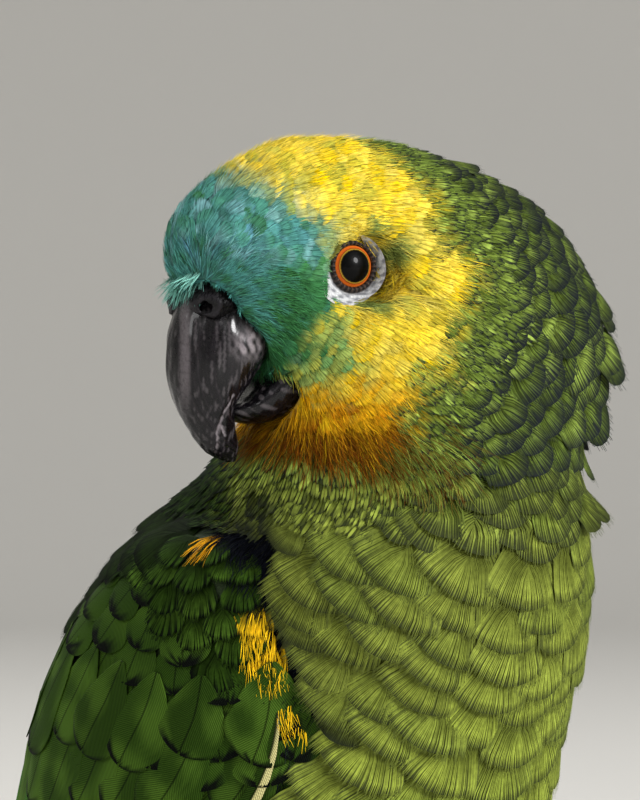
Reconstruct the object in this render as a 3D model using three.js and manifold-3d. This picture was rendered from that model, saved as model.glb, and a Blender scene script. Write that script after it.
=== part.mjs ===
// A turquoise-fronted amazon parrot, standing, with its head turned over its right shoulder.
// Millimetres, +Z up. The breast faces -Y and the bird's right side is -X.
// The solids follow the outline of the plumage, out to the tips of the feathers.

import * as THREE from "three";
import { mergeVertices } from "three/addons/utils/BufferGeometryUtils.js";
import Module from "manifold-3d";

const wasm = await Module();
wasm.setup();

const { degToRad, lerp, clamp, smoothstep } = THREE.MathUtils;
const at = (x, y, z) => new THREE.Vector3(x, y, z);

// ---- Driving dimensions ---------------------------------------------------------------

const GAP = 0.3; // clearance between neighbouring pieces
const SOCKET_GAP = 0.7; // clearance of a socket with fewer facets than what sits in it
const BODY_SIDES = 28; // facets round the head, neck and trunk

// Stance
const EYE_HEIGHT = 222; // pupils above the floor
const NECK_Y = -22; // the neck's axis, in front of the legs
const SKULL_REACH = 18; // from the neck's axis forward to the line through both pupils
const HEAD_TURN = degToRad(105); // to the bird's right, away from the breast
const BODY_LEAN = degToRad(32); // the trunk's long axis, back from upright

// Where the plumage of the body is parted, as heights of the axis
const CROWN_TOP = 256; // the axis starts above the crown
const HEAD_BOTTOM = 189;
const NECK_BOTTOM = 166;
const VENT = at(0, 44, 68); // the axis ends below the vent

// Eyes: in the head, +X is its left, -Y is forward and the pupils are at height 0
const EYE_RADIUS = 6.6;
const EYE_ASIDE = 11.8; // centre of the eyeball from the middle of the head

const ORBIT = { aside: 21.2, half: at(4.6, 8.4, 8) }; // bare hollow that the lids lie in

// Tail
const TAIL_ROOT = at(0, 38, 78);
const TAIL_LENGTH = 129;
const TAIL_SLOPE = degToRad(37);
const TAIL_HALF_WIDTHS = [15, 19, 22.5, 24.5, 25];
const TAIL_HALF_THICKNESSES = [10, 7, 4, 2, 1]; // with the coverts over and under its root
const TAIL_FEATHERS = 12;
const TAIL_ROUNDING = 9; // how much shorter the outermost feathers are than the middle ones
const TAIL_TIP_STEP = 2.5; // between neighbouring feather tips
const TAIL_ARCH = 4; // how far the fan's middle stands above its edges at the root

// Wings
const WING_RISE = 5; // how far the folded wing stands out from the plumage of the trunk
const WING_THICKNESS = 6.5;
const WING_EDGE_THICKNESS = 1.4;
const WING_FREE = [0.5, 0.74]; // shares of its length over which it leaves the trunk
const WING_SPLIT = 0.66; // share of the wing's length where the primaries leave the coverts
const FLIGHT_TIPS = 9; // primary tips that show along the folded wing's upper edge

// Legs
const LEG_ASIDE = 20; // from the middle of the body
const ANKLE = at(0, 11, 36); // in a leg's own frame, whose origin is the floor under the foot
const FOOT_HUB = at(0, 0, 4.6);
const HUB_RADIUS = 5.4; // reaches below the floor, so the pad under it is cut flat
const TOE_RADIUS = 3.3;
const KNUCKLE = { share: 0.45, height: 2.5 }; // where a toe's axis bends, along its length
const TOE_TIP_HEIGHT = 1.8;
const TOE_TAPER = 0.28;
const TOE_PAD_SPACING = 8;
// Two toes point forward and two back. Headings turn outward from straight ahead.
const TOES = [
  { name: "inner_front", heading: degToRad(-14), length: 20 },
  { name: "outer_front", heading: degToRad(16), length: 29 },
  { name: "inner_rear", heading: degToRad(-152), length: 14 },
  { name: "outer_rear", heading: degToRad(150), length: 24 },
];
const CLAW_LENGTH = 11;
const CLAW_RADIUS = 2.1;
const CLAW_POINT_RADIUS = 0.3;

// ---- Materials ------------------------------------------------------------------------

function finish(color, roughness = 0.8, metalness = 0) {
  return new THREE.MeshStandardMaterial({ color, roughness, metalness });
}
const headFeathers = finish(0xd9b52a);
const neckFeathers = finish(0x6f8f2a);
const breastFeathers = finish(0x8a9f3a);
const wingFeathers = finish(0x3f6b1e);
const flightFeathers = finish(0x2c4a2c);
const tailFeathers = finish(0x557f2c);
const horn = finish(0x2c2a2b, 0.35);
const cereSkin = finish(0x1d1c1f, 0.6);
const eyeGlass = finish(0xc25a1c, 0.08);
const footScales = finish(0x77736f, 0.65);
const clawHorn = finish(0x26231f, 0.4);

// ---- Shapes ---------------------------------------------------------------------------

// Rings of points joined into one skin, with a cap of triangles over each end.
function loft(rings, capOf, extraPoints = []) {
  const sides = rings[0].length;
  const last = (rings.length - 1) * sides;
  const index = [...capOf(0, 0), ...capOf(last, 1).reverse()];
  for (let low = 0; low < last; low += sides) {
    const high = low + sides;
    for (let i = 0; i < sides; i++) {
      const next = (i + 1) % sides;
      index.push(low + i, low + next, high + next, low + i, high + next, high + i);
    }
  }
  const geometry = new THREE.BufferGeometry().setFromPoints([...rings.flat(), ...extraPoints]);
  return facingOut(geometry.setIndex(index));
}

// Round rings, each end closed by a fan to a pole.
function closedLoft(rings, startPole = middleOf(rings[0]), endPole = middleOf(rings.at(-1))) {
  const sides = rings[0].length;
  const fan = (start, end) => {
    const pole = rings.length * sides + end;
    return Array.from({ length: sides }, (_, i) => [pole, start + ((i + 1) % sides), start + i]).flat();
  };
  return loft(rings, fan, [startPole, endPole]);
}

// Thin rings that run out along one face and back along the other, each end closed across.
function closedBlade(outerRings, innerRings) {
  const columns = outerRings[0].length;
  const rings = outerRings.map((outer, i) => [...outer, ...innerRings[i].toReversed()]);
  const across = (start) => {
    const index = [];
    for (let i = 0; i < columns - 1; i++) {
      const [a, b] = [start + i, start + i + 1];
      const [c, d] = [start + 2 * columns - 2 - i, start + 2 * columns - 1 - i];
      index.push(b, a, c, c, a, d);
    }
    return index;
  };
  return loft(rings, across);
}

function middleOf(ring) {
  return ring.reduce((sum, p) => sum.add(p), at(0, 0, 0)).divideScalar(ring.length);
}

// Turns a closed geometry's faces round when they point inwards.
function facingOut(geometry) {
  const p = geometry.attributes.position;
  const index = geometry.index.array;
  const [a, b, c] = [at(0, 0, 0), at(0, 0, 0), at(0, 0, 0)];
  let volume = 0;
  for (let i = 0; i < index.length; i += 3) {
    a.fromBufferAttribute(p, index[i]);
    b.fromBufferAttribute(p, index[i + 1]);
    c.fromBufferAttribute(p, index[i + 2]);
    volume += a.dot(b.cross(c));
  }
  if (volume < 0) index.reverse();
  return geometry;
}

// A round piece along a curve. radius(t) is its size, and nothing of it is lower than the floor.
function tube(curve, radius, steps, sides, floor = -Infinity) {
  const rings = [];
  for (let step = 0; step <= steps; step++) {
    const t = step / steps;
    const centre = curve.getPointAt(t);
    const along = curve.getTangentAt(t);
    const aside = at(0, 0, 1).cross(along).normalize();
    const upward = along.clone().cross(aside);
    const ring = [];
    for (let i = 0; i < sides; i++) {
      const angle = (i / sides) * 2 * Math.PI;
      const p = centre.clone();
      p.addScaledVector(aside, radius(t) * Math.cos(angle));
      p.addScaledVector(upward, radius(t) * Math.sin(angle));
      p.z = Math.max(p.z, floor);
      ring.push(p);
    }
    rings.push(ring);
  }
  return closedLoft(rings);
}

function ellipsoid(middle, half, columns = 16, rows = 10) {
  const geometry = new THREE.SphereGeometry(1, columns, rows);
  geometry.scale(half.x, half.y, half.z);
  return geometry.translate(middle.x, middle.y, middle.z);
}

// A value that runs smoothly through evenly spaced values, for t from 0 to 1.
function through(values, t) {
  const place = clamp(t, 0, 1) * (values.length - 1);
  const i = Math.min(Math.floor(place), values.length - 2);
  const f = place - i;
  const before = values[Math.max(i - 1, 0)];
  const after = values[Math.min(i + 2, values.length - 1)];
  const [from, to] = [values[i], values[i + 1]];
  const [leaving, arriving] = [(to - before) / 2, (after - from) / 2];
  const [f2, f3] = [f * f, f * f * f];
  return (2 * f3 - 3 * f2 + 1) * from + (f3 - 2 * f2 + f) * leaving +
    (3 * f2 - 2 * f3) * to + (f3 - f2) * arriving;
}

// ---- Joining and cutting --------------------------------------------------------------

function solidOf(geometry) {
  const bare = new THREE.BufferGeometry();
  bare.setAttribute("position", geometry.getAttribute("position"));
  bare.setIndex(geometry.index);
  const merged = mergeVertices(bare, 1e-4);
  return new wasm.Manifold(
    new wasm.Mesh({
      numProp: 3,
      vertProperties: merged.attributes.position.array,
      triVerts: new Uint32Array(merged.index.array),
    }),
  );
}

function geometryOf(solid) {
  const mesh = solid.getMesh();
  const positions = new Float32Array(mesh.numVert * 3);
  for (let i = 0; i < mesh.numVert; i++) {
    const from = i * mesh.numProp;
    positions.set(mesh.vertProperties.subarray(from, from + 3), i * 3);
  }
  const geometry = new THREE.BufferGeometry();
  geometry.setAttribute("position", new THREE.BufferAttribute(positions, 3));
  return geometry.setIndex(new THREE.BufferAttribute(mesh.triVerts, 1));
}

// A geometry with others cut out of it. Only its largest body is kept.
function cut(geometry, ...cutters) {
  let solid = solidOf(geometry);
  for (const cutter of cutters) solid = solid.subtract(solidOf(cutter));
  const bodies = solid.decompose();
  return geometryOf(bodies.reduce((a, b) => (b.volume() > a.volume() ? b : a)));
}

function joined(...geometries) {
  const solids = geometries.map(solidOf);
  return geometryOf(solids.reduce((a, b) => a.add(b)));
}

// ---- The head's own frame -------------------------------------------------------------

const headGroup = new THREE.Group();
headGroup.rotation.z = -HEAD_TURN;
headGroup.position.set(
  -SKULL_REACH * Math.sin(HEAD_TURN),
  NECK_Y - SKULL_REACH * Math.cos(HEAD_TURN),
  EYE_HEIGHT,
);
headGroup.updateMatrix();
const toHead = headGroup.matrix.clone().invert();

// ---- The body as one plump form -------------------------------------------------------

// Each mass is an ellipsoid that the plumage blends over: its middle, its half sizes across,
// fore and aft and up, how far it leans back, and whether it belongs to the turned head.
const MASSES = [
  { part: "cranium", middle: at(0, 5, 2), half: at(20, 33, 26), head: true },
  { part: "forehead", middle: at(0, -16, 3), half: at(12, 16, 12.5), head: true },
  { part: "nape", middle: at(0, 29, -16), half: at(30, 37, 37), head: true },
  { part: "cheeks", middle: at(0, 10, -18), half: at(21, 15, 16), head: true },
  { part: "neck", middle: at(0, -24, 174), half: at(33, 38, 30), lean: 0 },
  { part: "breast", middle: at(0, -23, 154), half: at(43, 40, 42), lean: degToRad(20) },
  { part: "torso", middle: at(0, 10, 127), half: at(46, 50, 64), lean: BODY_LEAN },
  { part: "belly", middle: at(0, -8, 120), half: at(44, 44, 46), lean: degToRad(12) },
  { part: "mantle", middle: at(0, 4, 148), half: at(34, 26, 28), lean: degToRad(40) },
  { part: "rump", middle: at(0, 50, 92), half: at(26, 24, 34), lean: degToRad(48) },
];
const BLEND = 12; // how far apart two masses start to flow together

// Signed distance, about, from an ellipsoid at the origin.
function fromEllipsoid(p, half) {
  const scaled = p.clone().divide(half);
  const near = scaled.length();
  return (near * (near - 1)) / Math.max(scaled.divide(half).length(), 1e-6);
}

function blendedMin(a, b, reach) {
  const share = Math.max(reach - Math.abs(a - b), 0) / reach;
  return Math.min(a, b) - (share * share * reach) / 4;
}

// How far a point is outside the plumage, and less than 0 inside it.
function outsideBody(p) {
  const inHead = p.clone().applyMatrix4(toHead);
  let distance = Infinity;
  for (const { middle, half, head, lean } of MASSES) {
    const local = (head ? inHead : p).clone().sub(middle);
    if (lean) local.applyAxisAngle(at(1, 0, 0), -lean);
    const own = fromEllipsoid(local, half);
    distance = distance === Infinity ? own : blendedMin(distance, own, BLEND);
  }
  return distance;
}

// The axis runs straight down the neck, then back along the trunk.
const bodyAxis = new THREE.CatmullRomCurve3([
  at(0, NECK_Y, CROWN_TOP),
  at(0, NECK_Y, EYE_HEIGHT),
  at(0, NECK_Y, 196),
  at(0, -18, 176),
  at(0, -8, 155),
  at(0, 5, 134),
  at(0, 18, 112),
  at(0, 31, 90),
  VENT,
]);

// The share of the axis at a height.
function shareAtHeight(z) {
  let [low, high] = [0, 1];
  for (let i = 0; i < 30; i++) {
    const middle = (low + high) / 2;
    if (bodyAxis.getPointAt(middle).z > z) low = middle;
    else high = middle;
  }
  return low;
}

// The farthest distance along a ray at which it leaves the plumage, grown by some clearance.
function reachOf(from, ray, grown) {
  const step = 1.5;
  const outside = (reach) => outsideBody(from.clone().addScaledVector(ray, reach)) > grown;
  let far = 90;
  while (far > step && outside(far - step)) far -= step;
  let near = far - step;
  for (let i = 0; i < 14; i++) {
    const middle = (near + far) / 2;
    if (outside(middle)) far = middle;
    else near = middle;
  }
  return near;
}

function bodyRing(share, grown) {
  const centre = bodyAxis.getPointAt(share);
  const along = bodyAxis.getTangentAt(share);
  const aside = at(1, 0, 0);
  const ahead = along.clone().cross(aside);
  const ring = [];
  for (let i = 0; i < BODY_SIDES; i++) {
    const angle = (i / BODY_SIDES) * 2 * Math.PI;
    const ray = aside.clone().multiplyScalar(Math.cos(angle));
    ray.addScaledVector(ahead, Math.sin(angle));
    ring.push(centre.clone().addScaledVector(ray, reachOf(centre, ray, grown)));
  }
  return ring;
}

// The share of the axis where it meets the plumage, from outside at one end.
function shareAtEnd(end, grown) {
  let [inside, outer] = [0.5, end];
  for (let i = 0; i < 30; i++) {
    const middle = (inside + outer) / 2;
    if (outsideBody(bodyAxis.getPointAt(middle)) > grown) outer = middle;
    else inside = middle;
  }
  return inside;
}

const POLE_STEP = 0.6; // how far the ring next to a pole is from it, as a share of a step

// A length of the body between two shares of its axis. An end at a pole is rounded off.
function bodyLength(from, to, rings, { poleAtStart, poleAtEnd, grown = 0 } = {}) {
  const shares = [];
  for (let i = 0; i < rings; i++) {
    let t = i / (rings - 1);
    const quarterTurn = Math.PI / 2 / (rings - 1 + POLE_STEP);
    if (poleAtStart) t = 1 - Math.cos((i + POLE_STEP) * quarterTurn);
    if (poleAtEnd) t = Math.sin(i * quarterTurn);
    shares.push(lerp(from, to, t));
  }
  const first = poleAtStart ? bodyAxis.getPointAt(from) : undefined;
  const last = poleAtEnd ? bodyAxis.getPointAt(to) : undefined;
  return closedLoft(shares.map((share) => bodyRing(share, grown)), first, last);
}

const halfGap = GAP / 2 / bodyAxis.getLength();
const crownShare = shareAtEnd(0, 0);
const headShare = shareAtHeight(HEAD_BOTTOM);
const neckShare = shareAtHeight(NECK_BOTTOM);
const ventShare = shareAtEnd(1, 0);
const HEAD_RINGS = 13;
const TRUNK_RINGS = 13;
const headForm = bodyLength(crownShare, headShare - halfGap, HEAD_RINGS, { poleAtStart: true });
const neckForm = bodyLength(headShare + halfGap, neckShare - halfGap, 4);
const trunkForm = bodyLength(neckShare + halfGap, ventShare, TRUNK_RINGS, { poleAtEnd: true });
const TRUNK_CLEARANCE_START = neckShare - 0.05; // well inside the neck
const trunkClearance = bodyLength(TRUNK_CLEARANCE_START, shareAtEnd(1, GAP), TRUNK_RINGS + 1, {
  poleAtEnd: true,
  grown: GAP,
});

// ---- Bill, cere and eyes, in the head's frame -----------------------------------------

// Profiles of the upper bill in the middle plane, as pairs of forward reach and height.
// The ridge runs from the cere over the curve to the hook, the cutting edge from the gape.
const RIDGE = [
  [27, -4], [30, -9], [31.5, -15], [31.2, -21.5], [29.2, -27.3], [25.6, -32.2], [21.3, -36.2],
  [17.8, -38.6],
];
const CUTTING_EDGE = [
  [11.5, -16], [13.3, -20], [15.6, -23.3], [18.2, -26.2], [20.9, -28.6], [20.3, -31.6],
  [18.9, -35.4], [17.4, -38.3],
];
const UPPER_HALF_WIDTHS = [8.6, 8.8, 8.3, 7.3, 5.7, 3.9, 2.2, 0.7];
const UPPER_WIDEST = 0.62; // how far down from the ridge the upper bill is widest
const UPPER_SQUARENESS = 0.9; // below 1, the flanks of the upper bill are flatter

// Profiles of the lower bill: its rim against the upper bill, and its keel.
const RIM = [[2, -15.5], [7.5, -18.6], [12.5, -22.6], [16.5, -26.4], [20, -28.2]];
const KEEL = [[3, -24], [6.5, -28.6], [11, -30.8], [15.5, -31], [19.6, -29.8]];
const LOWER_HALF_WIDTHS = [9.4, 9.6, 8.6, 6.6, 3.6];
const LOWER_WIDEST = 0.3;
const RIM_FULLNESS = 0.45; // how square the lower bill's upper side is
const UNDERSIDE_FULLNESS = 0.75;

const profileAt = (pairs, k, t) => through(pairs.map((pair) => pair[k]), t);

// A bill half, ring by ring from its base to its tip. Sections bulge by a power of the sine.
function billHalf({ upperLine, lowerLine, halfWidths, widest, steps, sides, square, grown }) {
  const rings = [];
  for (let step = 0; step <= steps; step++) {
    const t = step / steps;
    const top = at(0, -profileAt(upperLine, 0, t), profileAt(upperLine, 1, t));
    const bottom = at(0, -profileAt(lowerLine, 0, t), profileAt(lowerLine, 1, t));
    const waist = top.clone().lerp(bottom, widest);
    const halfWidth = through(halfWidths, t) + grown;
    const ring = [];
    for (let i = 0; i < sides; i++) {
      const angle = (i / sides) * 2 * Math.PI;
      const [c, s] = [Math.cos(angle), Math.sin(angle)];
      const reach = (c > 0 ? top : bottom).clone().sub(waist);
      reach.setLength(reach.length() + grown);
      const p = waist.clone().addScaledVector(reach, Math.abs(c));
      p.x = halfWidth * Math.sign(s) * Math.pow(Math.abs(s), c > 0 ? square : UNDERSIDE_FULLNESS);
      ring.push(p);
    }
    rings.push(ring);
  }
  return closedLoft(rings);
}

const upperBill = (grown = 0) => billHalf({
  upperLine: RIDGE,
  lowerLine: CUTTING_EDGE,
  halfWidths: UPPER_HALF_WIDTHS,
  widest: UPPER_WIDEST,
  steps: grown ? 8 : 12,
  sides: grown ? 10 : 14,
  square: UPPER_SQUARENESS,
  grown,
});

const lowerBill = (grown = 0) => billHalf({
  upperLine: RIM,
  lowerLine: KEEL,
  halfWidths: LOWER_HALF_WIDTHS,
  widest: LOWER_WIDEST,
  steps: grown ? 5 : 8,
  sides: grown ? 10 : 14,
  square: RIM_FULLNESS,
  grown,
});

// The cere: two soft lobes over the root of the ridge, each with a nostril.
const CERE_LOBE = { aside: 4.4, forward: 24.2, height: -7.2, half: at(4.9, 5.4, 4.6) };
const NOSTRIL = { aside: 6.6, forward: 27.4, height: -8, radius: 1.7 };

function cere(grown = 0) {
  const { aside, forward, height, half } = CERE_LOBE;
  const size = half.clone().addScalar(grown);
  const lobes = [-1, 1].map((side) => ellipsoid(at(side * aside, -forward, height), size, 8, 5));
  return joined(...lobes);
}

function nostrils() {
  const { aside, forward, height, radius } = NOSTRIL;
  const size = at(radius, radius, radius);
  return [-1, 1].map((side) => ellipsoid(at(side * aside, -forward, height), size, 6, 3));
}

function eyeball(side, grown = 0) {
  const radius = EYE_RADIUS + grown;
  const [columns, rows] = grown ? [10, 6] : [12, 7];
  return ellipsoid(at(side * EYE_ASIDE, 0, 0), at(radius, radius, radius), columns, rows);
}

const orbit = (side) => ellipsoid(at(side * ORBIT.aside, 0, 0), ORBIT.half, 12, 6);

// ---- Wings ----------------------------------------------------------------------------

// The folded left wing lies between two edges, shoulder first and wing tip last.
// The leading edge drops from the bend of the wing, then sweeps back along the flank.
const LEADING_EDGE = new THREE.CatmullRomCurve3([
  at(41, -21, 168),
  at(47.5, -28, 158),
  at(47, -33, 146),
  at(41, -35, 132),
  at(38.5, -27, 114),
  at(38.5, -4, 92),
  at(33, 33, 70),
  at(22, 76, 50),
  at(11, 116, 34),
]);
const TRAILING_EDGE = new THREE.CatmullRomCurve3([
  at(31, -4, 169),
  at(28, 11, 165),
  at(25, 28, 154),
  at(22, 45, 136),
  at(19, 60, 116),
  at(14, 72, 96),
  at(9, 84, 75),
  at(4.5, 101, 54),
  at(7, 119, 36),
]);
const WING_BULGE = [3, 8, 14, 19, 22, 19, 12, 6, 1.5]; // outward from the chord, at each point
const OUTER_REACH = 25; // how far a cutter reaches out of the wing's place
const WING_CLEARANCE = 0.8; // under and round a wing, as its facets differ from the cutter's
const TIP_NOTCH = 1.3; // depth of the steps between the tips of the primaries

// How far a wing stands out and how thick it is: full in the middle, thin at its edges.
function wingFullness(u, v) {
  return Math.sqrt(Math.max(4 * v * (1 - v), 0)) * smoothstep(u, -0.02, 0.14);
}

function wingThickness(u, v) {
  const full = lerp(WING_THICKNESS, WING_EDGE_THICKNESS, smoothstep(u, 0.55, 1));
  return lerp(WING_EDGE_THICKNESS, full, wingFullness(u, v));
}

// A point moved straight in or out until it is at a distance outside the plumage.
function settled(p, distance) {
  const d = 0.2;
  for (let i = 0; i < 6; i++) {
    const here = outsideBody(p);
    const slope = at(
      outsideBody(p.clone().add(at(d, 0, 0))) - here,
      outsideBody(p.clone().add(at(0, d, 0))) - here,
      outsideBody(p.clone().add(at(0, 0, d))) - here,
    ).divideScalar(d);
    p.addScaledVector(slope, (distance - here) / slope.lengthSq());
  }
  return p;
}

// A point in the wing's thickness, depth 0 on its outside and 1 on its inside.
function wingPoint(u, v, depth, clearance = 0) {
  const lead = LEADING_EDGE.getPoint(u);
  const trail = TRAILING_EDGE.getPoint(u);
  const chord = trail.clone().sub(lead);
  const onward = LEADING_EDGE.getTangent(u).add(TRAILING_EDGE.getTangent(u));
  const outward = chord.clone().cross(onward).normalize();
  if (outward.x < 0) outward.negate();
  const notch = u > WING_SPLIT ? TIP_NOTCH * Math.abs(Math.sin(u * 3 * FLIGHT_TIPS * Math.PI)) : 0;
  const inward = wingThickness(u, v) * depth + clearance;
  const free = lead.lerp(trail, v).addScaledVector(chord.normalize(), -notch * smoothstep(v, 0.8, 1));
  free.addScaledVector(outward, through(WING_BULGE, u) * (1 - Math.pow(2 * v - 1, 4)) - inward);
  const freedom = smoothstep(u, ...WING_FREE);
  if (freedom === 1) return free;
  const lying = settled(free.clone(), WING_RISE * wingFullness(u, v) - inward);
  return lying.lerp(free, freedom);
}

// -1 at the first of a row of places, 1 at the last and 0 between.
const endSign = (place, last) => (place === 0 ? -1 : place === last ? 1 : 0);

// Evenly spaced shares of the wing's length.
const wingShares = (from, to, steps) =>
  Array.from({ length: steps + 1 }, (_, step) => lerp(from, to, step / steps));

// A length of the folded wing through some shares of it. Each ring runs over the outside from
// the leading to the trailing edge and back inside. A cutter reaches far out of the wing.
function wingLength(shares, side, cutter = false) {
  const columns = 6;
  const outerRings = [];
  const innerRings = [];
  for (const [step, u] of shares.entries()) {
    const outer = [];
    const inner = [];
    for (let column = 0; column <= columns; column++) {
      const v = column / columns;
      const outside = wingPoint(u, v, 0);
      const inside = wingPoint(u, v, 1, cutter ? WING_CLEARANCE : 0);
      if (cutter) {
        const outward = outside.clone().sub(inside).setLength(OUTER_REACH);
        const across = wingPoint(u, 1, 0).sub(wingPoint(u, 0, 0)).setLength(WING_CLEARANCE);
        const onward = LEADING_EDGE.getTangent(u).setLength(WING_CLEARANCE);
        const widen = across.multiplyScalar(endSign(column, columns));
        widen.addScaledVector(onward, endSign(step, shares.length - 1));
        outside.add(outward).add(widen);
        inside.add(widen);
      }
      for (const p of [outside, inside]) p.x *= side;
      outer.push(outside);
      inner.push(inside);
    }
    outerRings.push(outer);
    innerRings.push(inner);
  }
  return closedBlade(outerRings, innerRings);
}

// ---- Tail -----------------------------------------------------------------------------

const TAIL_EDGE_SHARE = 0.15; // squared, of the middle's thickness left at the sides

// Twelve overlapping feathers in one fan. Its tip lies on the floor.
function tail() {
  const columns = TAIL_FEATHERS;
  const rows = 5;
  const along = at(0, Math.cos(TAIL_SLOPE), -Math.sin(TAIL_SLOPE));
  const upward = at(0, Math.sin(TAIL_SLOPE), Math.cos(TAIL_SLOPE));
  const topRings = [];
  const bottomRings = [];
  for (let row = 0; row <= rows; row++) {
    const t = row / rows;
    const halfWidth = through(TAIL_HALF_WIDTHS, t);
    const half = through(TAIL_HALF_THICKNESSES, t);
    const top = [];
    const bottom = [];
    for (let column = 0; column <= columns; column++) {
      const w = (2 * column) / columns - 1;
      const roundOff = TAIL_ROUNDING * w * w + TAIL_TIP_STEP * (column % 2);
      const p = TAIL_ROOT.clone().addScaledVector(along, (TAIL_LENGTH - roundOff) * t);
      p.x = halfWidth * w;
      const arch = TAIL_ARCH * (1 - w * w) * (1 - t);
      const edge = half * Math.sqrt(1 + TAIL_EDGE_SHARE - w * w);
      const high = p.clone().addScaledVector(upward, arch + edge);
      const low = p.addScaledVector(upward, arch - edge);
      low.z = Math.max(low.z, 0);
      high.z = Math.max(high.z, 2 * TAIL_HALF_THICKNESSES.at(-1));
      top.push(high);
      bottom.push(low);
    }
    topRings.push(top);
    bottomRings.push(bottom);
  }
  return closedBlade(topRings, bottomRings);
}

// ---- Legs, in a frame whose origin is the floor under the foot and whose +X is outward ----

const THIGH_AXIS = new THREE.CatmullRomCurve3([
  at(0, 20, 96), at(1, 17, 72), at(1, 14, 52), ANKLE.clone().add(at(0, 0, -2)),
]);
const THIGH_RADII = [24, 21, 14.5, 8.2, 6.2];
const SHANK_AXIS = new THREE.CatmullRomCurve3([
  ANKLE.clone().add(at(0, 1, 6)), ANKLE, at(0, 4, 20), FOOT_HUB,
]);
const SHANK_RADII = [3.6, 4.3, 3.3, 3.5, 4.4];

const thigh = (grown = 0) =>
  tube(THIGH_AXIS, (t) => through(THIGH_RADII, t) + grown, 5, 10);

function shank(grown = 0) {
  const leg = tube(SHANK_AXIS, (t) => through(SHANK_RADII, t) + grown, 5, 8);
  const hub = ellipsoid(FOOT_HUB, at(1, 1, 1).multiplyScalar(HUB_RADIUS + grown), 10, 6);
  return cut(joined(leg, hub), floorSlab());
}

// A slab under the floor, to flatten what stands on it.
function floorSlab() {
  return new THREE.BoxGeometry(160, 160, 20).translate(0, 0, -10);
}

function toeTip({ heading, length }) {
  return at(Math.sin(heading) * length, -Math.cos(heading) * length, TOE_TIP_HEIGHT);
}

// A toe with a soft pad under each joint, flat where it rests.
function toe(shape, grown = 0) {
  const tip = toeTip(shape);
  const knuckle = FOOT_HUB.clone().lerp(tip, KNUCKLE.share).setZ(KNUCKLE.height);
  const axis = new THREE.CatmullRomCurve3([FOOT_HUB, knuckle, tip]);
  const pads = Math.round(shape.length / TOE_PAD_SPACING);
  const radius = (t) => {
    const tapered = TOE_RADIUS * (1 - TOE_TAPER * (t - 0.3));
    const padded = tapered * (1 + 0.07 * Math.cos(2 * Math.PI * pads * t));
    return padded * Math.sqrt(1 - 0.75 * Math.pow(t, 8)) + grown;
  };
  return tube(axis, radius, 6, 6, grown ? -Infinity : 0);
}

// A claw springs up from the toe's end and curves down until its point nearly meets the floor.
function claw(shape, grown = 0) {
  const tip = toeTip(shape);
  const ahead = at(Math.sin(shape.heading), -Math.cos(shape.heading), 0);
  const along = (reach, z) => tip.clone().addScaledVector(ahead, CLAW_LENGTH * reach).setZ(z);
  const axis = new THREE.CatmullRomCurve3([
    along(-0.16, 2.7), along(0.25, 3.9), along(0.62, 3.4), along(0.86, 1.5), along(0.92, 0.55),
  ]);
  const radius = (t) => CLAW_RADIUS * Math.pow(1 - t, 0.7) + CLAW_POINT_RADIUS + grown;
  return tube(axis, radius, 5, 6, grown ? -Infinity : 0.1);
}

// ---- The whole bird -------------------------------------------------------------------

const bird = new THREE.Group();

function add(name, geometry, material, parent = bird) {
  const mesh = new THREE.Mesh(geometry, material);
  mesh.name = name;
  parent.add(mesh);
  return mesh;
}

// Head, with sockets for what is set into it
bird.add(headGroup);
headForm.applyMatrix4(toHead);
const sockets = [upperBill(SOCKET_GAP), lowerBill(SOCKET_GAP), cere(SOCKET_GAP)];
for (const side of [-1, 1]) sockets.push(orbit(side), eyeball(side, SOCKET_GAP));
add("head", cut(headForm, ...sockets), headFeathers, headGroup);
add("upper_bill", upperBill(), horn, headGroup);
add("lower_bill", cut(lowerBill(), upperBill(SOCKET_GAP)), horn, headGroup);
add("cere", cut(cere(), upperBill(SOCKET_GAP), ...nostrils()), cereSkin, headGroup);
add("eye_right", eyeball(-1), eyeGlass, headGroup);
add("eye_left", eyeball(1), eyeGlass, headGroup);

// Wings, and the neck and trunk hollowed where they lie
const splitGap = (2 * GAP) / LEADING_EDGE.getLength();
const covertShares = wingShares(0, WING_SPLIT - splitGap, 9);
const primaryShares = wingShares(WING_SPLIT + splitGap, 1, 12);
const wingPlaces = [];
for (const [name, side] of [["right", -1], ["left", 1]]) {
  add(`wing_${name}`, wingLength(covertShares, side), wingFeathers);
  add(`primaries_${name}`, wingLength(primaryShares, side), flightFeathers);
  wingPlaces.push(wingLength([...covertShares, ...primaryShares], side, true));
}
add("neck", cut(neckForm, ...wingPlaces), neckFeathers);
add("trunk", cut(trunkForm, ...wingPlaces), breastFeathers);
add("tail", cut(tail(), trunkClearance, ...wingPlaces), tailFeathers);

// Legs: the right one is the left one mirrored
for (const [name, side] of [["right", -1], ["left", 1]]) {
  const leg = new THREE.Group();
  leg.position.x = side * LEG_ASIDE;
  leg.scale.x = side;
  leg.updateMatrix();
  bird.add(leg);
  const toLeg = leg.matrix.clone().invert();
  const place = (geometry) => facingOut(geometry.clone().applyMatrix4(toLeg));
  const bodyPlaces = [trunkClearance, ...wingPlaces].map(place);
  add(`thigh_${name}`, cut(thigh(), shank(GAP), ...bodyPlaces), breastFeathers, leg);
  add(`shank_${name}`, shank(), footScales, leg);
  const earlier = [shank(GAP)];
  for (const shape of TOES) {
    add(`toe_${shape.name}_${name}`, cut(toe(shape), ...earlier, claw(shape, GAP)), footScales, leg);
    add(`claw_${shape.name}_${name}`, claw(shape), clawHorn, leg);
    earlier.push(toe(shape, GAP));
  }
}

// The origin is on the floor, under the middle of the bird's box.
bird.updateMatrixWorld(true);
const box = new THREE.Box3().setFromObject(bird, true);
const middle = box.getCenter(at(0, 0, 0));
bird.position.set(-middle.x, -middle.y, -box.min.z);

export default bird;
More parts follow.
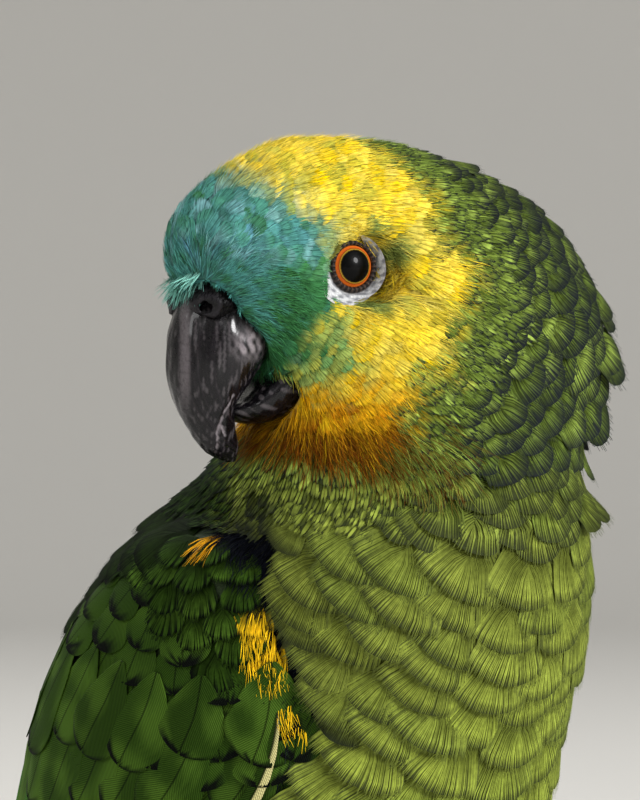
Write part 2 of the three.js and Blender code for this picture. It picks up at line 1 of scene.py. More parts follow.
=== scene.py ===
"""A turquoise-fronted amazon parrot as a museum model: skin, coat of feathers, bill, eyes and feet."""

import logging
import math
from dataclasses import dataclass, field
from enum import Enum
from functools import partial
from typing import Callable, Iterable, Optional, Sequence

import bmesh
import bpy
import numpy as np
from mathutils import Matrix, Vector
from mathutils.bvhtree import BVHTree
from mathutils.kdtree import KDTree


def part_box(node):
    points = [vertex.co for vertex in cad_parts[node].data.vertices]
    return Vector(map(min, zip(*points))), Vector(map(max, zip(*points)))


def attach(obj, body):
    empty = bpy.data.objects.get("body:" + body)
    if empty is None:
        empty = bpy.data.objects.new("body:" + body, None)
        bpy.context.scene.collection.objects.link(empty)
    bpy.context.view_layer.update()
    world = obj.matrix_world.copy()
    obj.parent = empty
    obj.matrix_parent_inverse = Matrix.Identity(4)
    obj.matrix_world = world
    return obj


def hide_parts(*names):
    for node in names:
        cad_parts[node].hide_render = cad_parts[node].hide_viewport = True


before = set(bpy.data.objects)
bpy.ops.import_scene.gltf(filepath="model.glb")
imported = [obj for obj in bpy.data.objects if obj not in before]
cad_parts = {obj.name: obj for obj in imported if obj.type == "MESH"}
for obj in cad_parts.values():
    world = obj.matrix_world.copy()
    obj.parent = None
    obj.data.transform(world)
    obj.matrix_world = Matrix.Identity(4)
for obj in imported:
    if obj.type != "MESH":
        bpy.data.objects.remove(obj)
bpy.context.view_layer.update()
LOG = logging.getLogger("parrot")

MM = 0.001
BODY = "root"
SIDES = {"right": -1.0, "left": 1.0}
TOES = ("inner_front", "outer_front", "inner_rear", "outer_rear")
COAT_PIECE_LIMIT = 190_000  # triangles in one piece of the coat
BAKE_PATCH = 0.003  # width of one feather's patch on the unwrap
ABOVE = 0.05  # how far off the body a ray starts that looks for its surface
PACKING = 0.74  # random roots lie about this much farther apart than their least distance
Spacing = Callable[["Site"], np.ndarray]  # millimetres between roots, and 0 where nothing grows
SizeRule = Callable[["Site", np.ndarray], tuple]  # lengths and half widths in millimetres
VaneColour = Callable[[np.ndarray, np.ndarray, np.ndarray], tuple]  # colours, edge tint and its strength


# ---- Small tools ------------------------------------------------------------------------


def linear(hex_colour: str) -> np.ndarray:
    """The three linear channels of an sRGB colour in hexadecimal."""
    srgb = np.array([int(hex_colour[i : i + 2], 16) for i in (0, 2, 4)]) / 255.0
    return np.where(srgb <= 0.04045, srgb / 12.92, ((srgb + 0.055) / 1.055) ** 2.4)


def rgba(hex_colour: str) -> tuple[float, float, float, float]:
    """The linear colour of a hex value, with full alpha."""
    return (*(float(c) for c in linear(hex_colour)), 1.0)


def smoothstep(low: float, high: float, x: np.ndarray) -> np.ndarray:
    """A smooth step from 0 at low to 1 at high."""
    t = np.clip((x - low) / (high - low), 0.0, 1.0)
    return t * t * (3.0 - 2.0 * t)


def mix(a: np.ndarray, b: np.ndarray, share: np.ndarray) -> np.ndarray:
    """Blends two arrays of vectors by a share for each row."""
    return a + (b - a) * np.asarray(share)[..., None]


def unit(v: np.ndarray) -> np.ndarray:
    """Vectors at length 1, along the last axis."""
    return v / np.maximum(np.linalg.norm(v, axis=-1, keepdims=True), 1e-12)


def ripple(points_mm: np.ndarray, wavelength_mm: float, seed: int) -> np.ndarray:
    """Smooth irregular noise from plane waves.

    Args:
        points_mm: Places, in millimetres.
        wavelength_mm: About how far apart its swells are.
        seed: Picks the waves.

    Returns:
        One value for each point, mostly within -1 to 1.
    """
    rng = np.random.default_rng(seed)
    total = np.zeros(points_mm.shape[:-1])
    for _ in range(6):
        wave = rng.normal(size=3)
        wave *= 2.0 * math.pi / (np.linalg.norm(wave) * wavelength_mm * rng.uniform(0.7, 1.5))
        total += np.sin(points_mm @ wave + rng.uniform(0.0, 2.0 * math.pi))
    return total / 2.2


def filled(spacing: np.ndarray) -> np.ndarray:
    """Spacings with the usual one in place of any 0."""
    return np.where(spacing > 0, spacing, np.median(spacing[spacing > 0]))


def middle(node: str) -> np.ndarray:
    """The middle of a CAD node's box, in metres."""
    low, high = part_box(node)
    return np.array((low + high) / 2.0)


def new_mesh_object(
    name: str,
    verts: np.ndarray,
    faces: np.ndarray,
    material: bpy.types.Material,
    colours: Optional[np.ndarray] = None,
    bake_uv: Optional[np.ndarray] = None,
    vane_uv: Optional[np.ndarray] = None,
) -> bpy.types.Object:
    """Makes an object from arrays.

    Args:
        name: The piece's name.
        verts: Corners, in metres.
        faces: Vertex indices, three or four to a row.
        material: Its finish.
        colours: Linear colour of each vertex.
        bake_uv: Place of each vertex on the skin's unwrap.
        vane_uv: Place of each vertex across and along its feather.

    Returns:
        The linked object.
    """
    sides = faces.shape[1]
    mesh = bpy.data.meshes.new(name)
    mesh.vertices.add(len(verts))
    mesh.vertices.foreach_set("co", verts.astype(np.float32).ravel())
    mesh.loops.add(faces.size)
    corner = faces.astype(np.int32).ravel()
    mesh.loops.foreach_set("vertex_index", corner)
    mesh.polygons.add(len(faces))
    mesh.polygons.foreach_set("loop_start", np.arange(len(faces), dtype=np.int32) * sides)
    mesh.polygons.foreach_set("use_smooth", np.ones(len(faces), bool))
    mesh.update(calc_edges=True)
    for layer, uv in (("OFBake", bake_uv), ("vane", vane_uv)):
        if uv is not None:
            made = mesh.uv_layers.new(name=layer)
            made.data.foreach_set("uv", uv.astype(np.float32)[corner].ravel())
    if colours is not None:
        add_plumage(mesh, colours)
    mesh.materials.append(material)
    return linked(name, mesh)


def linked(name: str, data: bpy.types.ID) -> bpy.types.Object:
    """A new object in the scene.

    Args:
        name: The object's name.
        data: Its mesh, light or camera.

    Returns:
        The object.
    """
    made = bpy.data.objects.new(name, data)
    bpy.context.scene.collection.objects.link(made)
    return made


def add_plumage(mesh: bpy.types.Mesh, colours: np.ndarray) -> None:
    """Stores a linear colour for each vertex of a mesh.

    Args:
        mesh: The mesh.
        colours: One row for each vertex.
    """
    full = np.ones((len(colours), 4), np.float32)
    full[:, :3] = colours
    attribute = mesh.color_attributes.new(name="plumage", type="FLOAT_COLOR", domain="POINT")
    attribute.data.foreach_set("color", full.ravel())


def finished(name: str, mesh: bpy.types.Mesh, verts: np.ndarray, material: bpy.types.Material,
             colours: Optional[np.ndarray] = None) -> bpy.types.Object:
    """Turns a wrapped mesh into a smooth piece.

    Args:
        name: The piece's name.
        mesh: The wrap.
        verts: Where its vertices go, in metres.
        material: Its finish.
        colours: Linear colour of each vertex.

    Returns:
        The linked object.
    """
    mesh.name = name
    mesh.vertices.foreach_set("co", verts.astype(np.float32).ravel())
    mesh.update()
    mesh.polygons.foreach_set("use_smooth", np.ones(len(mesh.polygons), bool))
    if colours is not None:
        add_plumage(mesh, colours)
    mesh.materials.clear()
    mesh.materials.append(material)
    return linked(name, mesh)


def add_float(mesh: bpy.types.Mesh, name: str, values: np.ndarray) -> None:
    """Stores one number for each vertex of a mesh.

    Args:
        mesh: The mesh.
        name: The attribute's name.
        values: One for each vertex.
    """
    mesh.attributes.new(name=name, type="FLOAT", domain="POINT").data.foreach_set(
        "value", values.astype(np.float32)
    )


def put(piece: bpy.types.Object, slot: str, *nodes: str) -> None:
    """Rides a piece on the bird and lets it stand for CAD nodes.

    Args:
        piece: The piece.
        slot: The record's slot. Not used.
        nodes: CAD nodes that it stands for.
    """
    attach(piece, BODY)
    if nodes:
        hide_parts(*nodes)
    LOG.info("%s: %d faces", piece.name, len(piece.data.polygons))


def grid_faces(rows: int, columns: int, closed: bool = False) -> np.ndarray:
    """Quads over a grid of vertices, row by row.

    Args:
        rows: Rows of vertices.
        columns: Vertices in a row.
        closed: Whether each row closes on itself.

    Returns:
        Vertex indices, four to a face.
    """
    row, column = np.meshgrid(np.arange(rows - 1), np.arange(columns - (not closed)), indexing="ij")
    row, column = row.ravel(), column.ravel()
    onward = (column + 1) % columns
    return np.stack(
        [row * columns + column, row * columns + onward, (row + 1) * columns + onward,
         (row + 1) * columns + column], axis=1)


def node_mesh(names: Iterable[str], grow: float = 0.0) -> bmesh.types.BMesh:
    """CAD nodes joined as one mesh, each grown along its normals.

    Args:
        names: CAD nodes.
        grow: Metres outward.

    Returns:
        The joined mesh.
    """
    whole = bmesh.new()
    for name in names:
        part = bmesh.new()
        part.from_mesh(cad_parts[name].data)
        bmesh.ops.remove_doubles(part, verts=part.verts, dist=1e-6)
        part.normal_update()
        for vert in part.verts:
            vert.co += vert.normal * grow
        spare = bpy.data.meshes.new("spare")
        part.to_mesh(spare)
        whole.from_mesh(spare)
        bpy.data.meshes.remove(spare)
        part.free()
    return whole


def remeshed(source: bmesh.types.BMesh, voxel: float, smoothing: int) -> bpy.types.Mesh:
    """One closed even mesh over a bmesh, which is freed.

    Args:
        source: The solids to wrap.
        voxel: Edge of a voxel, in metres.
        smoothing: How many rounds of smoothing follow.

    Returns:
        The new mesh.
    """
    rough = bpy.data.meshes.new("rough")
    source.to_mesh(rough)
    source.free()
    carrier = linked("carrier", rough)
    remesh = carrier.modifiers.new("even", "REMESH")
    remesh.mode = "VOXEL"
    remesh.voxel_size = voxel
    relax = carrier.modifiers.new("relax", "SMOOTH")
    relax.factor = 0.5
    relax.iterations = smoothing
    graph = bpy.context.evaluated_depsgraph_get()
    made = bpy.data.meshes.new_from_object(carrier.evaluated_get(graph))
    bpy.data.objects.remove(carrier)
    bpy.data.meshes.remove(rough)
    return made


def vertex_array(mesh: bpy.types.Mesh) -> np.ndarray:
    """A mesh's vertices as an array.

    Args:
        mesh: Any mesh.

    Returns:
        One row for each vertex.
    """
    co = np.empty(len(mesh.vertices) * 3, np.float32)
    mesh.vertices.foreach_get("co", co)
    return co.reshape(-1, 3).astype(float)


def struck(tree: BVHTree, place: np.ndarray, way: np.ndarray, above: float) -> tuple:
    """What a ray meets, started above a place and run back against the unit vector of a way."""
    return tree.ray_cast((place + way * above).tolist(), (-way).tolist())


def tree_of(mesh: bmesh.types.BMesh) -> BVHTree:
    """A search tree over a bmesh, which is freed.

    Args:
        mesh: The faces to search.

    Returns:
        The tree.
    """
    tree = BVHTree.FromBMesh(mesh)
    mesh.free()
    return tree


# ---- The plan the bird is laid out on ---------------------------------------------------

UP = np.array([0.0, 0.0, 1.0])
VIEW_FROM = np.array([-math.sqrt(0.5), -math.sqrt(0.5), 0.0])  # 45 degrees off the breast
VIEW_RIGHT = np.array([math.sqrt(0.5), -math.sqrt(0.5), 0.0])
TAIL_SLOPE = math.radians(37.0)
TAIL_ALONG = np.array([0.0, math.cos(TAIL_SLOPE), -math.sin(TAIL_SLOPE)])
TAIL_UPWARD = np.array([0.0, math.sin(TAIL_SLOPE), math.cos(TAIL_SLOPE)])
TAIL_ROOT = (0.0, 38.0, 78.0)
TAIL_LENGTH = 129.0
PLAN_SHIFT = (0.0, -38.68, 0.0)  # from the plan's origin, between the legs' roots, to the frame's
LEADING_EDGE = (
    (41, -21, 168), (47.5, -28, 158), (47, -33, 146), (41, -35, 132), (38.5, -27, 114),
    (38.5, -4, 92), (33, 33, 70), (22, 76, 50), (11, 116, 34))
TRAILING_EDGE = (
    (31, -4, 169), (28, 11, 165), (25, 28, 154), (22, 45, 136), (19, 60, 116),
    (14, 72, 96), (9, 84, 75), (4.5, 101, 54), (7, 119, 36))
HUB_MM = (20.0, -38.68)  # the middle of a foot, beside the body's midline


def through(values: Sequence, t: np.ndarray) -> np.ndarray:
    """A smooth curve through evenly placed values, or rows of values.

    Args:
        values: The values at evenly spaced shares.
        t: Shares from 0 to 1.

    Returns:
        The curve's values there.
    """
    rows = np.asarray(values, float)
    place = np.clip(np.asarray(t, float), 0.0, 1.0) * (len(rows) - 1)
    i = np.minimum(place.astype(int), len(rows) - 2)
    f = place - i
    if rows.ndim > 1:
        f = f[..., None]
    before, after = rows[np.maximum(i - 1, 0)], rows[np.minimum(i + 2, len(rows) - 1)]
    start, end = rows[i], rows[i + 1]
    f2, f3 = f * f, f * f * f
    return ((2 * f3 - 3 * f2 + 1) * start + (f3 - 2 * f2 + f) * (end - before) / 2
            + (3 * f2 - 2 * f3) * end + (f3 - f2) * (after - start) / 2)


def along_wing(points_mm: np.ndarray) -> tuple[np.ndarray, np.ndarray]:
    """Where points lie on the folded wing.

    Args:
        points_mm: Places, in millimetres.

    Returns:
        Shares along its length, and shares across it from its leading edge.
    """
    steps = np.linspace(0.0, 1.0, 40)
    lead, trail = through(LEADING_EDGE, steps) + PLAN_SHIFT, through(TRAILING_EDGE, steps) + PLAN_SHIFT
    place = points_mm.copy()
    place[:, 0] = np.abs(place[:, 0])
    nearest = ((place[:, None] - (lead + trail)[None] / 2.0) ** 2).sum(-1).argmin(1)
    to_lead = np.linalg.norm(place - lead[nearest], axis=1)
    to_trail = np.linalg.norm(place - trail[nearest], axis=1)
    return steps[nearest], to_lead / (to_lead + to_trail)


def to_leading_edge(points_mm: np.ndarray) -> np.ndarray:
    """Millimetres from points to the leading edge of the nearer folded wing.

    Args:
        points_mm: Places, in millimetres.

    Returns:
        Millimetres.
    """
    lead = through(LEADING_EDGE, np.linspace(0.0, 0.7, 60)) + PLAN_SHIFT
    place = points_mm.reshape(-1, 3).copy()
    place[:, 0] = np.abs(place[:, 0])
    gap = np.sqrt(((place[:, None] - lead[None]) ** 2).sum(-1)).min(1)
    return gap.reshape(points_mm.shape[:-1])


# ---- The head's own frame ---------------------------------------------------------------


@dataclass(frozen=True)
class HeadFrame:
    """Forward, left and up in the turned head, from the point midway between the eyes."""

    origin: np.ndarray
    axes: np.ndarray

    @classmethod
    def from_eyes(cls) -> "HeadFrame":
        """Finds the head's directions from the two eyeballs.

        Returns:
            The frame.
        """
        left_eye, right_eye = middle("eye_left"), middle("eye_right")
        left = unit(left_eye - right_eye)
        return cls((left_eye + right_eye) / 2.0, np.stack([np.cross(left, UP), left, UP]))

    def local(self, points: np.ndarray) -> np.ndarray:
        """Points in the head, as millimetres forward, left and up."""
        return (points - self.origin) @ self.axes.T / MM

    def world(self, local_mm: np.ndarray) -> np.ndarray:
        """Points in the frame, in metres, from millimetres in the head."""
        return self.origin + np.asarray(local_mm, float) * MM @ self.axes


HEAD = HeadFrame.from_eyes()


# ---- Markings ---------------------------------------------------------------------------


class Region(Enum):
    """The parts of the bird whose plumage differs."""

    HEAD = 0
    NECK = 1
    TRUNK = 2
    WING = 3
    THIGH = 4
    TAIL = 5


REGION_OF_NODE = {
    "head": Region.HEAD,
    "neck": Region.NECK,
    "trunk": Region.TRUNK,
    "wing_right": Region.WING,
    "wing_left": Region.WING,
    "thigh_right": Region.THIGH,
    "thigh_left": Region.THIGH,
    "tail": Region.TAIL,
}


@dataclass(frozen=True)
class Palette:
    """Colours of the plumage, as sRGB hex values."""

    teal: str = "559993"
    blue: str = "5c95a9"
    lore_green: str = "3f7d49"
    bristle: str = "a6dccf"
    yellow: str = "ecca1f"
    pale_yellow: str = "e7d051"
    olive: str = "a3a336"
    malar: str = "74ab66"
    gold: str = "d08c10"
    rust: str = "632c0c"
    nape: str = "5f722c"
    nape_bright: str = "8fa548"
    charcoal: str = "1d2025"
    breast: str = "838f3a"
    belly: str = "91a03e"
    dusk: str = "2a3018"
    # mantle, wing and wing_light: darker greens of back and wing, darkened further as painted shade
    mantle: str = "20330d"
    wing: str = "2a4210"
    wing_light: str = "4c6b22"
    wing_edge: str = "080c08"
    wing_yellow: str = "f2c31c"
    thigh: str = "8fa53a"
    # gap: near-black beside the folded wing, painted shade over the dark feather bases there
    gap: str = "0f1118"
    rump: str = "7c9c30"
    flight: str = "3f6f1e"
    flight_end: str = "1f3a24"
    flight_inner: str = "141a1c"
    flight_edge: str = "0b0f10"
    cream: str = "e6dd9a"
    tail: str = "3f7a20"
    tail_tip: str = "8a9a34"
    tail_red: str = "a8261a"
    tail_edge: str = "3c5a1c"
    covert_edge: str = "2c4a18"
    bristle_black: str = "0a090b"
    tuft: str = "84c4b6"


class Markings:
    """The bird's colours, as one formula that the skin and the feathers share."""

    # The yellow of the face ends here: millimetres up, then millimetres forward of the eyes.
    NAPE_LINE_UP = (-60, -40, -34, -26, -23, -17, -12, -6, 1, 6, 11, 16, 20, 23, 27)
    NAPE_LINE_FORWARD = (9, -1, -5.5, -8.5, -9.9, -13.7, -16.1, -18.6, -20.2, -17.4, -16.6, -14.9,
                         -12.1, -9.1, -5)
    # The turquoise front ends here: millimetres up, then millimetres forward
    FRONT_UP = (-34, -24, -14, -6, 1, 6.5, 11.5, 15, 19.5, 26)
    FRONT_FORWARD = (15, 10.0, 5.6, 3.6, 3.2, 3.6, 8.6, 14.0, 20.0, 27)
    MALAR_CENTRE = (7.0, -17.5)
    MALAR_HALF = (6.2, 8.0)
    GOLD_TOP = -22.0
    RUST_TOP = -29.0
    # Yellow patches along the wing's leading edge: middle and half size along Y and up
    YELLOW_PATCHES = ((-67.5, 151.0, 4.0, 6.5), (-70.8, 136.5, 2.0, 2.4), (-52.0, 169.0, 1.4, 2.4))
    # The back's darker green, partly painted shade, starts here: millimetres up, then where along the
    # frame's Y.
    MANTLE_UP = (60, 120, 150, 167, 182, 200)
    MANTLE_FRONT = (-12, -15, -38, -57, -44, -26)

    def __init__(self, palette: Palette) -> None:
        """Turns the palette to linear colours."""
        self.tint = {name: linear(value) for name, value in vars(palette).items()}

    def nape_line(self, up: np.ndarray) -> np.ndarray:
        """How far forward the yellow's rear boundary lies, at a height."""
        return np.interp(up, self.NAPE_LINE_UP, self.NAPE_LINE_FORWARD)

    def behind_face(self, points: np.ndarray) -> np.ndarray:
        """How far points lie behind the yellow of the face, in millimetres.

        Args:
            points: Places in the frame, in metres.

        Returns:
            Millimetres, negative inside the yellow.
        """
        local = HEAD.local(points)
        jagged = 1.6 * ripple(local, 7.0, 11) + 0.8 * ripple(local, 2.5, 12)
        return self.nape_line(local[..., 2]) + jagged - local[..., 0]

    def before_mantle(self, mm: np.ndarray) -> np.ndarray:
        """1 on the breast's side of the back's darker green, 0 behind it."""
        line = np.interp(mm[..., 2], self.MANTLE_UP, self.MANTLE_FRONT)
        return smoothstep(2.5, -2.5, mm[..., 1] - line + 1.5 * ripple(mm, 5.0, 33))

    def face(self, points: np.ndarray) -> np.ndarray:
        """Colours of the face, before the nape.

        Args:
            points: Places in the frame, in metres.

        Returns:
            Linear colours.
        """
        local = HEAD.local(points)
        forward, up = local[..., 0], local[..., 2]
        fine, broad = ripple(local, 1.8, 21), ripple(local, 6.0, 22)
        patchy = ripple(local, 4.0, 23)
        colour = mix(self.tint["yellow"], self.tint["pale_yellow"], 0.5 + 0.5 * fine)
        # Olive mottles on the crown
        mottle = smoothstep(0.25, 0.8, patchy + 0.25 * fine) * smoothstep(6, 12, up) * 0.8
        cheek = smoothstep(0.75, 1.1, ripple(local, 4.5, 25)) * smoothstep(-4, 2, -up) * 0.6
        mottle = np.maximum(mottle, cheek)
        colour = mix(colour, self.tint["olive"], mottle)
        # The turquoise front
        ahead = forward - np.interp(up, self.FRONT_UP, self.FRONT_FORWARD)
        front = smoothstep(-2.4, 1.8, ahead + 1.4 * broad + 0.8 * fine)
        brow = smoothstep(-3, 5, up) * smoothstep(1.5, 6.0, ahead)
        bluer = smoothstep(-0.5, 0.5, patchy + 0.4 * fine) * brow
        teal = mix(self.tint["teal"], self.tint["blue"], bluer)
        green_share = smoothstep(21, 11, forward) * smoothstep(6, -5, up)
        scales = ripple(local, 2.6, 24)
        teal = mix(teal, self.tint["lore_green"], np.clip(green_share + 0.2 + 0.35 * scales, 0, 1))
        teal = mix(teal, self.tint["bristle"], 0.4 * brow * smoothstep(0.2, 1.0, patchy - 0.5 * scales))
        edge_olive = smoothstep(6.0, 0.5, ahead + 1.2 * broad) * smoothstep(-3, 5, up) * 0.65
        teal = mix(teal, mix(self.tint["olive"], self.tint["pale_yellow"], 0.3 + 0.3 * fine), edge_olive)
        colour = mix(colour, teal, front)
        # The malar patch behind the bill
        malar_x = (forward - self.MALAR_CENTRE[0]) / self.MALAR_HALF[0]
        malar_z = (up - self.MALAR_CENTRE[1]) / self.MALAR_HALF[1]
        malar = smoothstep(1.25, 0.6, np.hypot(malar_x, malar_z) + 0.25 * patchy)
        along_bill = smoothstep(9.0, 12.5, forward + 0.8 * broad) * smoothstep(-29, -24, up)
        along_bill = along_bill * smoothstep(-8.0, -12.0, up)
        malar = malar * (1.0 - 0.6 * smoothstep(0.0, 0.8, ripple(local, 3.0, 26)))
        malar = np.maximum(malar * 0.95, along_bill)
        colour = mix(colour, self.tint["malar"], malar * (1.0 - front))
        # Green strokes behind the eye and under it
        behind_eye = np.hypot((forward + 8.0) / 2.6, (up - 3.0) / 3.4)
        over_eye = np.hypot((forward + 4.0) / 2.2, (up - 8.0) / 2.0)
        under = np.hypot((forward + 2.5) / 4.5, (up + 8.3) / 1.3)
        flecks = np.minimum(np.minimum(behind_eye, over_eye), under) + 0.25 * fine
        colour = mix(colour, self.tint["malar"] * 0.55, 0.8 * smoothstep(1.25, 0.6, flecks))
        # Gold, then rust, on the lower cheek and throat
        gold = smoothstep(self.GOLD_TOP, self.GOLD_TOP - 5.0, up + 1.4 * broad)
        golden = mix(self.tint["gold"], self.tint["yellow"], 0.35 + 0.3 * fine)
        colour = mix(colour, golden, gold * (1 - 0.4 * malar))
        rust = smoothstep(self.RUST_TOP, self.RUST_TOP - 8.0, up + 1.5 * broad + 1.0 * fine)
        return mix(colour, self.tint["rust"], 0.8 * rust)

    def rust_tips(self, local: np.ndarray) -> np.ndarray:
        """How many of the throat's tips are rust brown, from 0 to 1."""
        return smoothstep(self.RUST_TOP + 3.0, self.RUST_TOP - 5.0, local[..., 2])

    def body(self, points: np.ndarray, region: np.ndarray) -> np.ndarray:
        """Colours behind the face and below it.

        Args:
            points: Places in the frame, in metres.
            region: Region number of each.

        Returns:
            Linear colours.
        """
        local = HEAD.local(points)
        mm = points / MM
        z = mm[..., 2]
        broad, fine = ripple(mm, 16.0, 31), ripple(mm, 5.0, 32)
        nape = mix(self.tint["nape"], self.tint["nape_bright"], smoothstep(0.1, 1.0, fine))
        breast = mix(self.tint["breast"], self.tint["belly"], smoothstep(150, 105, z + 8 * broad))
        breast = mix(breast, self.tint["nape"], 0.35 * smoothstep(0, 1, broad))
        colour = mix(nape, breast, smoothstep(-41, -47, local[..., 2]))
        before = self.before_mantle(mm)
        # The back's and the wing's greens carry painted shade as well as their own darker colour
        back = mix(self.tint["mantle"], self.tint["rump"], smoothstep(112, 84, z))
        colour = mix(colour, back, (1.0 - before) * smoothstep(204, 192, z))
        wing = mix(self.tint["wing"], self.tint["wing_light"], smoothstep(-0.2, 1.0, fine) * 0.7)
        colour = np.where((region == Region.WING.value)[..., None], wing, colour)
        # Painted shade: near-black in the gap beside the folded wing, over the dark feather bases there
        beside_wing = smoothstep(10.5, 6.0, to_leading_edge(mm) + 1.5 * fine) * before
        beside_wing = beside_wing * (region != Region.WING.value) * smoothstep(96.0, 104.0, z)
        colour = mix(colour, self.tint["gap"], 0.93 * beside_wing)
        thigh = mix(self.tint["thigh"], self.tint["belly"], 0.5 + 0.5 * fine)
        colour = np.where((region == Region.THIGH.value)[..., None], thigh, colour)
        tail = mix(self.tint["rump"], self.tint["belly"], 0.6 * smoothstep(84, 66, z))
        colour = np.where((region == Region.TAIL.value)[..., None], tail, colour)
        yellow = self.yellow_bend(points, region)
        return mix(colour, self.tint["wing_yellow"], smoothstep(0.8, 1.0, yellow))

    def colour(self, points: np.ndarray, region: np.ndarray) -> np.ndarray:
        """Linear colours of the plumage at points.

        Args:
            points: Places in the frame, in metres.
            region: Region number of each.

        Returns:
            Linear colours.
        """
        in_face = smoothstep(0.7, -0.7, self.behind_face(points)) * (region == Region.HEAD.value)
        in_face = in_face * smoothstep(-43.0, -40.0, HEAD.local(points)[..., 2])
        return mix(self.body(points, region), self.face(points), in_face)

    def edging(self, points: np.ndarray, region: np.ndarray) -> tuple[np.ndarray, np.ndarray]:
        """Colours of the feathers' edges, and how strong they are.

        Args:
            points: Places in the frame, in metres.
            region: Region number of each.

        Returns:
            Linear colours, and strengths from 0 to 1.
        """
        local = HEAD.local(points)
        mm = points / MM
        up = local[..., 2]
        front = smoothstep(-20, -55, mm[..., 1])
        dark = self.tint["dusk"] * 0.5 + self.tint["charcoal"] * 0.5
        edge = np.broadcast_to(dark, points.shape).copy()
        strength = np.full(points.shape[:-1], 1.0)
        behind = 1.0 - self.before_mantle(mm)
        edge = mix(edge, self.tint["wing_edge"], behind)
        hood = smoothstep(-48, -40, up)
        edge = mix(edge, self.tint["charcoal"], hood)
        strength = np.where((hood > 0.5) | (behind > 0.5), 1.0, strength - 0.2 * front)
        in_face = (self.behind_face(points) < 0.0) & (region == Region.HEAD.value)
        edge[in_face] = self.face(points[in_face]) * 0.45
        yellow = self.face(points)[..., 2] < 0.12
        strength = np.where(in_face, np.where(yellow, 0.15, 0.4), strength)
        wing = region == Region.WING.value
        edge[wing] = self.tint["wing_edge"]
        strength = np.where(wing, 1.0, strength)
        strength = np.where(region == Region.THIGH.value, 0.3, strength)
        return edge, strength

    def yellow_bend(self, points: np.ndarray, region: np.ndarray) -> np.ndarray:
        """How far points lie inside the yellow patches of the wing's bend, 1 at their middles.

        Args:
            points: Places in the frame, in metres.
            region: Region number of each.

        Returns:
            Shares, 0 outside.
        """
        mm = points / MM
        inside = np.zeros(points.shape[:-1])
        for y0, z0, half_y, half_z in self.YELLOW_PATCHES:
            near = np.hypot((mm[..., 1] - y0) / half_y, (mm[..., 2] - z0) / half_z)
            inside = np.maximum(inside, 1.6 - 0.8 * near)
        outside = (np.abs(mm[..., 0]) > 30.0) & (region == Region.WING.value)
        return np.where(outside, inside, 0.0)


MARKINGS = Markings(Palette())


# ---- Finishes ---------------------------------------------------------------------------


def add_node(tree: bpy.types.NodeTree, kind: str, settings: Optional[dict] = None,
             inputs: Optional[dict] = None, stops: Sequence[tuple[float, str]] = ()) -> bpy.types.Node:
    """Adds a node.

    Args:
        tree: Where it goes.
        kind: Its Blender type, without the leading ShaderNode.
        settings: Properties to set on it.
        inputs: Values, sockets or nodes for its inputs, by name or number. A node stands for its
            first output.
        stops: Places and hex colours of a colour ramp.

    Returns:
        The node.
    """
    made = tree.nodes.new(f"ShaderNode{kind}")
    for name, value in (settings or {}).items():
        setattr(made, name, value)
    for name, value in (inputs or {}).items():
        value = value.outputs[0] if isinstance(value, bpy.types.Node) else value
        if isinstance(value, bpy.types.NodeSocket):
            tree.links.new(value, made.inputs[name])
        else:
            made.inputs[name].default_value = value
    if stops:
        elements = made.color_ramp.elements
        while len(elements) < len(stops):
            elements.new(1.0)
        for element, (place, colour) in zip(elements, stops):
            element.position, element.color = place, rgba(colour)
    return made


NodeMaker = Callable[..., bpy.types.Node]  # add_node with its tree already given


@dataclass(frozen=True)
class Finish:
    """What all finishes share: each gives the shader its inputs."""

    name: str

    def build(self) -> bpy.types.Material:
        """Makes the material.

        Returns:
            The material.
        """
        material = bpy.data.materials.new(self.name)
        material.use_nodes = True
        material.node_tree.nodes.clear()
        node = partial(add_node, material.node_tree)
        shader = node("BsdfPrincipled", inputs=self.surface(node))
        node("OutputMaterial", inputs={"Surface": shader})
        return material

    def surface(self, node: NodeMaker) -> dict:
        """The shader's inputs."""
        raise NotImplementedError

    @staticmethod
    def painted(node: NodeMaker, level: bpy.types.Node) -> bpy.types.Node:
        """The colours stored on the vertices, times a level."""
        return node("VectorMath", {"operation": "SCALE"}, {
            0: node("VertexColor", {"layer_name": "plumage"}), "Scale": level})

    @staticmethod
    def grain(node: NodeMaker, scale: float, detail: float) -> bpy.types.Node:
        """Soft noise that is fixed to the object."""
        return node("TexNoise", inputs={
            "Vector": node("TexCoord").outputs["Object"], "Scale": scale, "Detail": detail})


@dataclass(frozen=True)
class FeatherBarbs(Finish):
    """Keratin barbs lying side by side: matt, with a soft sheen along the lie of the feather."""

    name: str = "feather_barbs"
    roughness: float = 0.66
    sheen: float = 0.004
    mottle_mm: float = 1.1

    def surface(self, node: NodeMaker) -> dict:
        """Painted colours with a fine mottle.

        Args:
            node: Adds a node to the material.

        Returns:
            The shader's inputs, by name.
        """
        level = node("MapRange", inputs={
            "Value": self.grain(node, 1.0 / (self.mottle_mm * MM), 2.0),
            "From Min": 0.3, "From Max": 0.7, "To Min": 0.8, "To Max": 1.15})
        return {"Base Color": self.painted(node, level), "Roughness": self.roughness,
                "Specular IOR Level": 0.02, "Sheen Weight": self.sheen, "Sheen Roughness": 0.5}


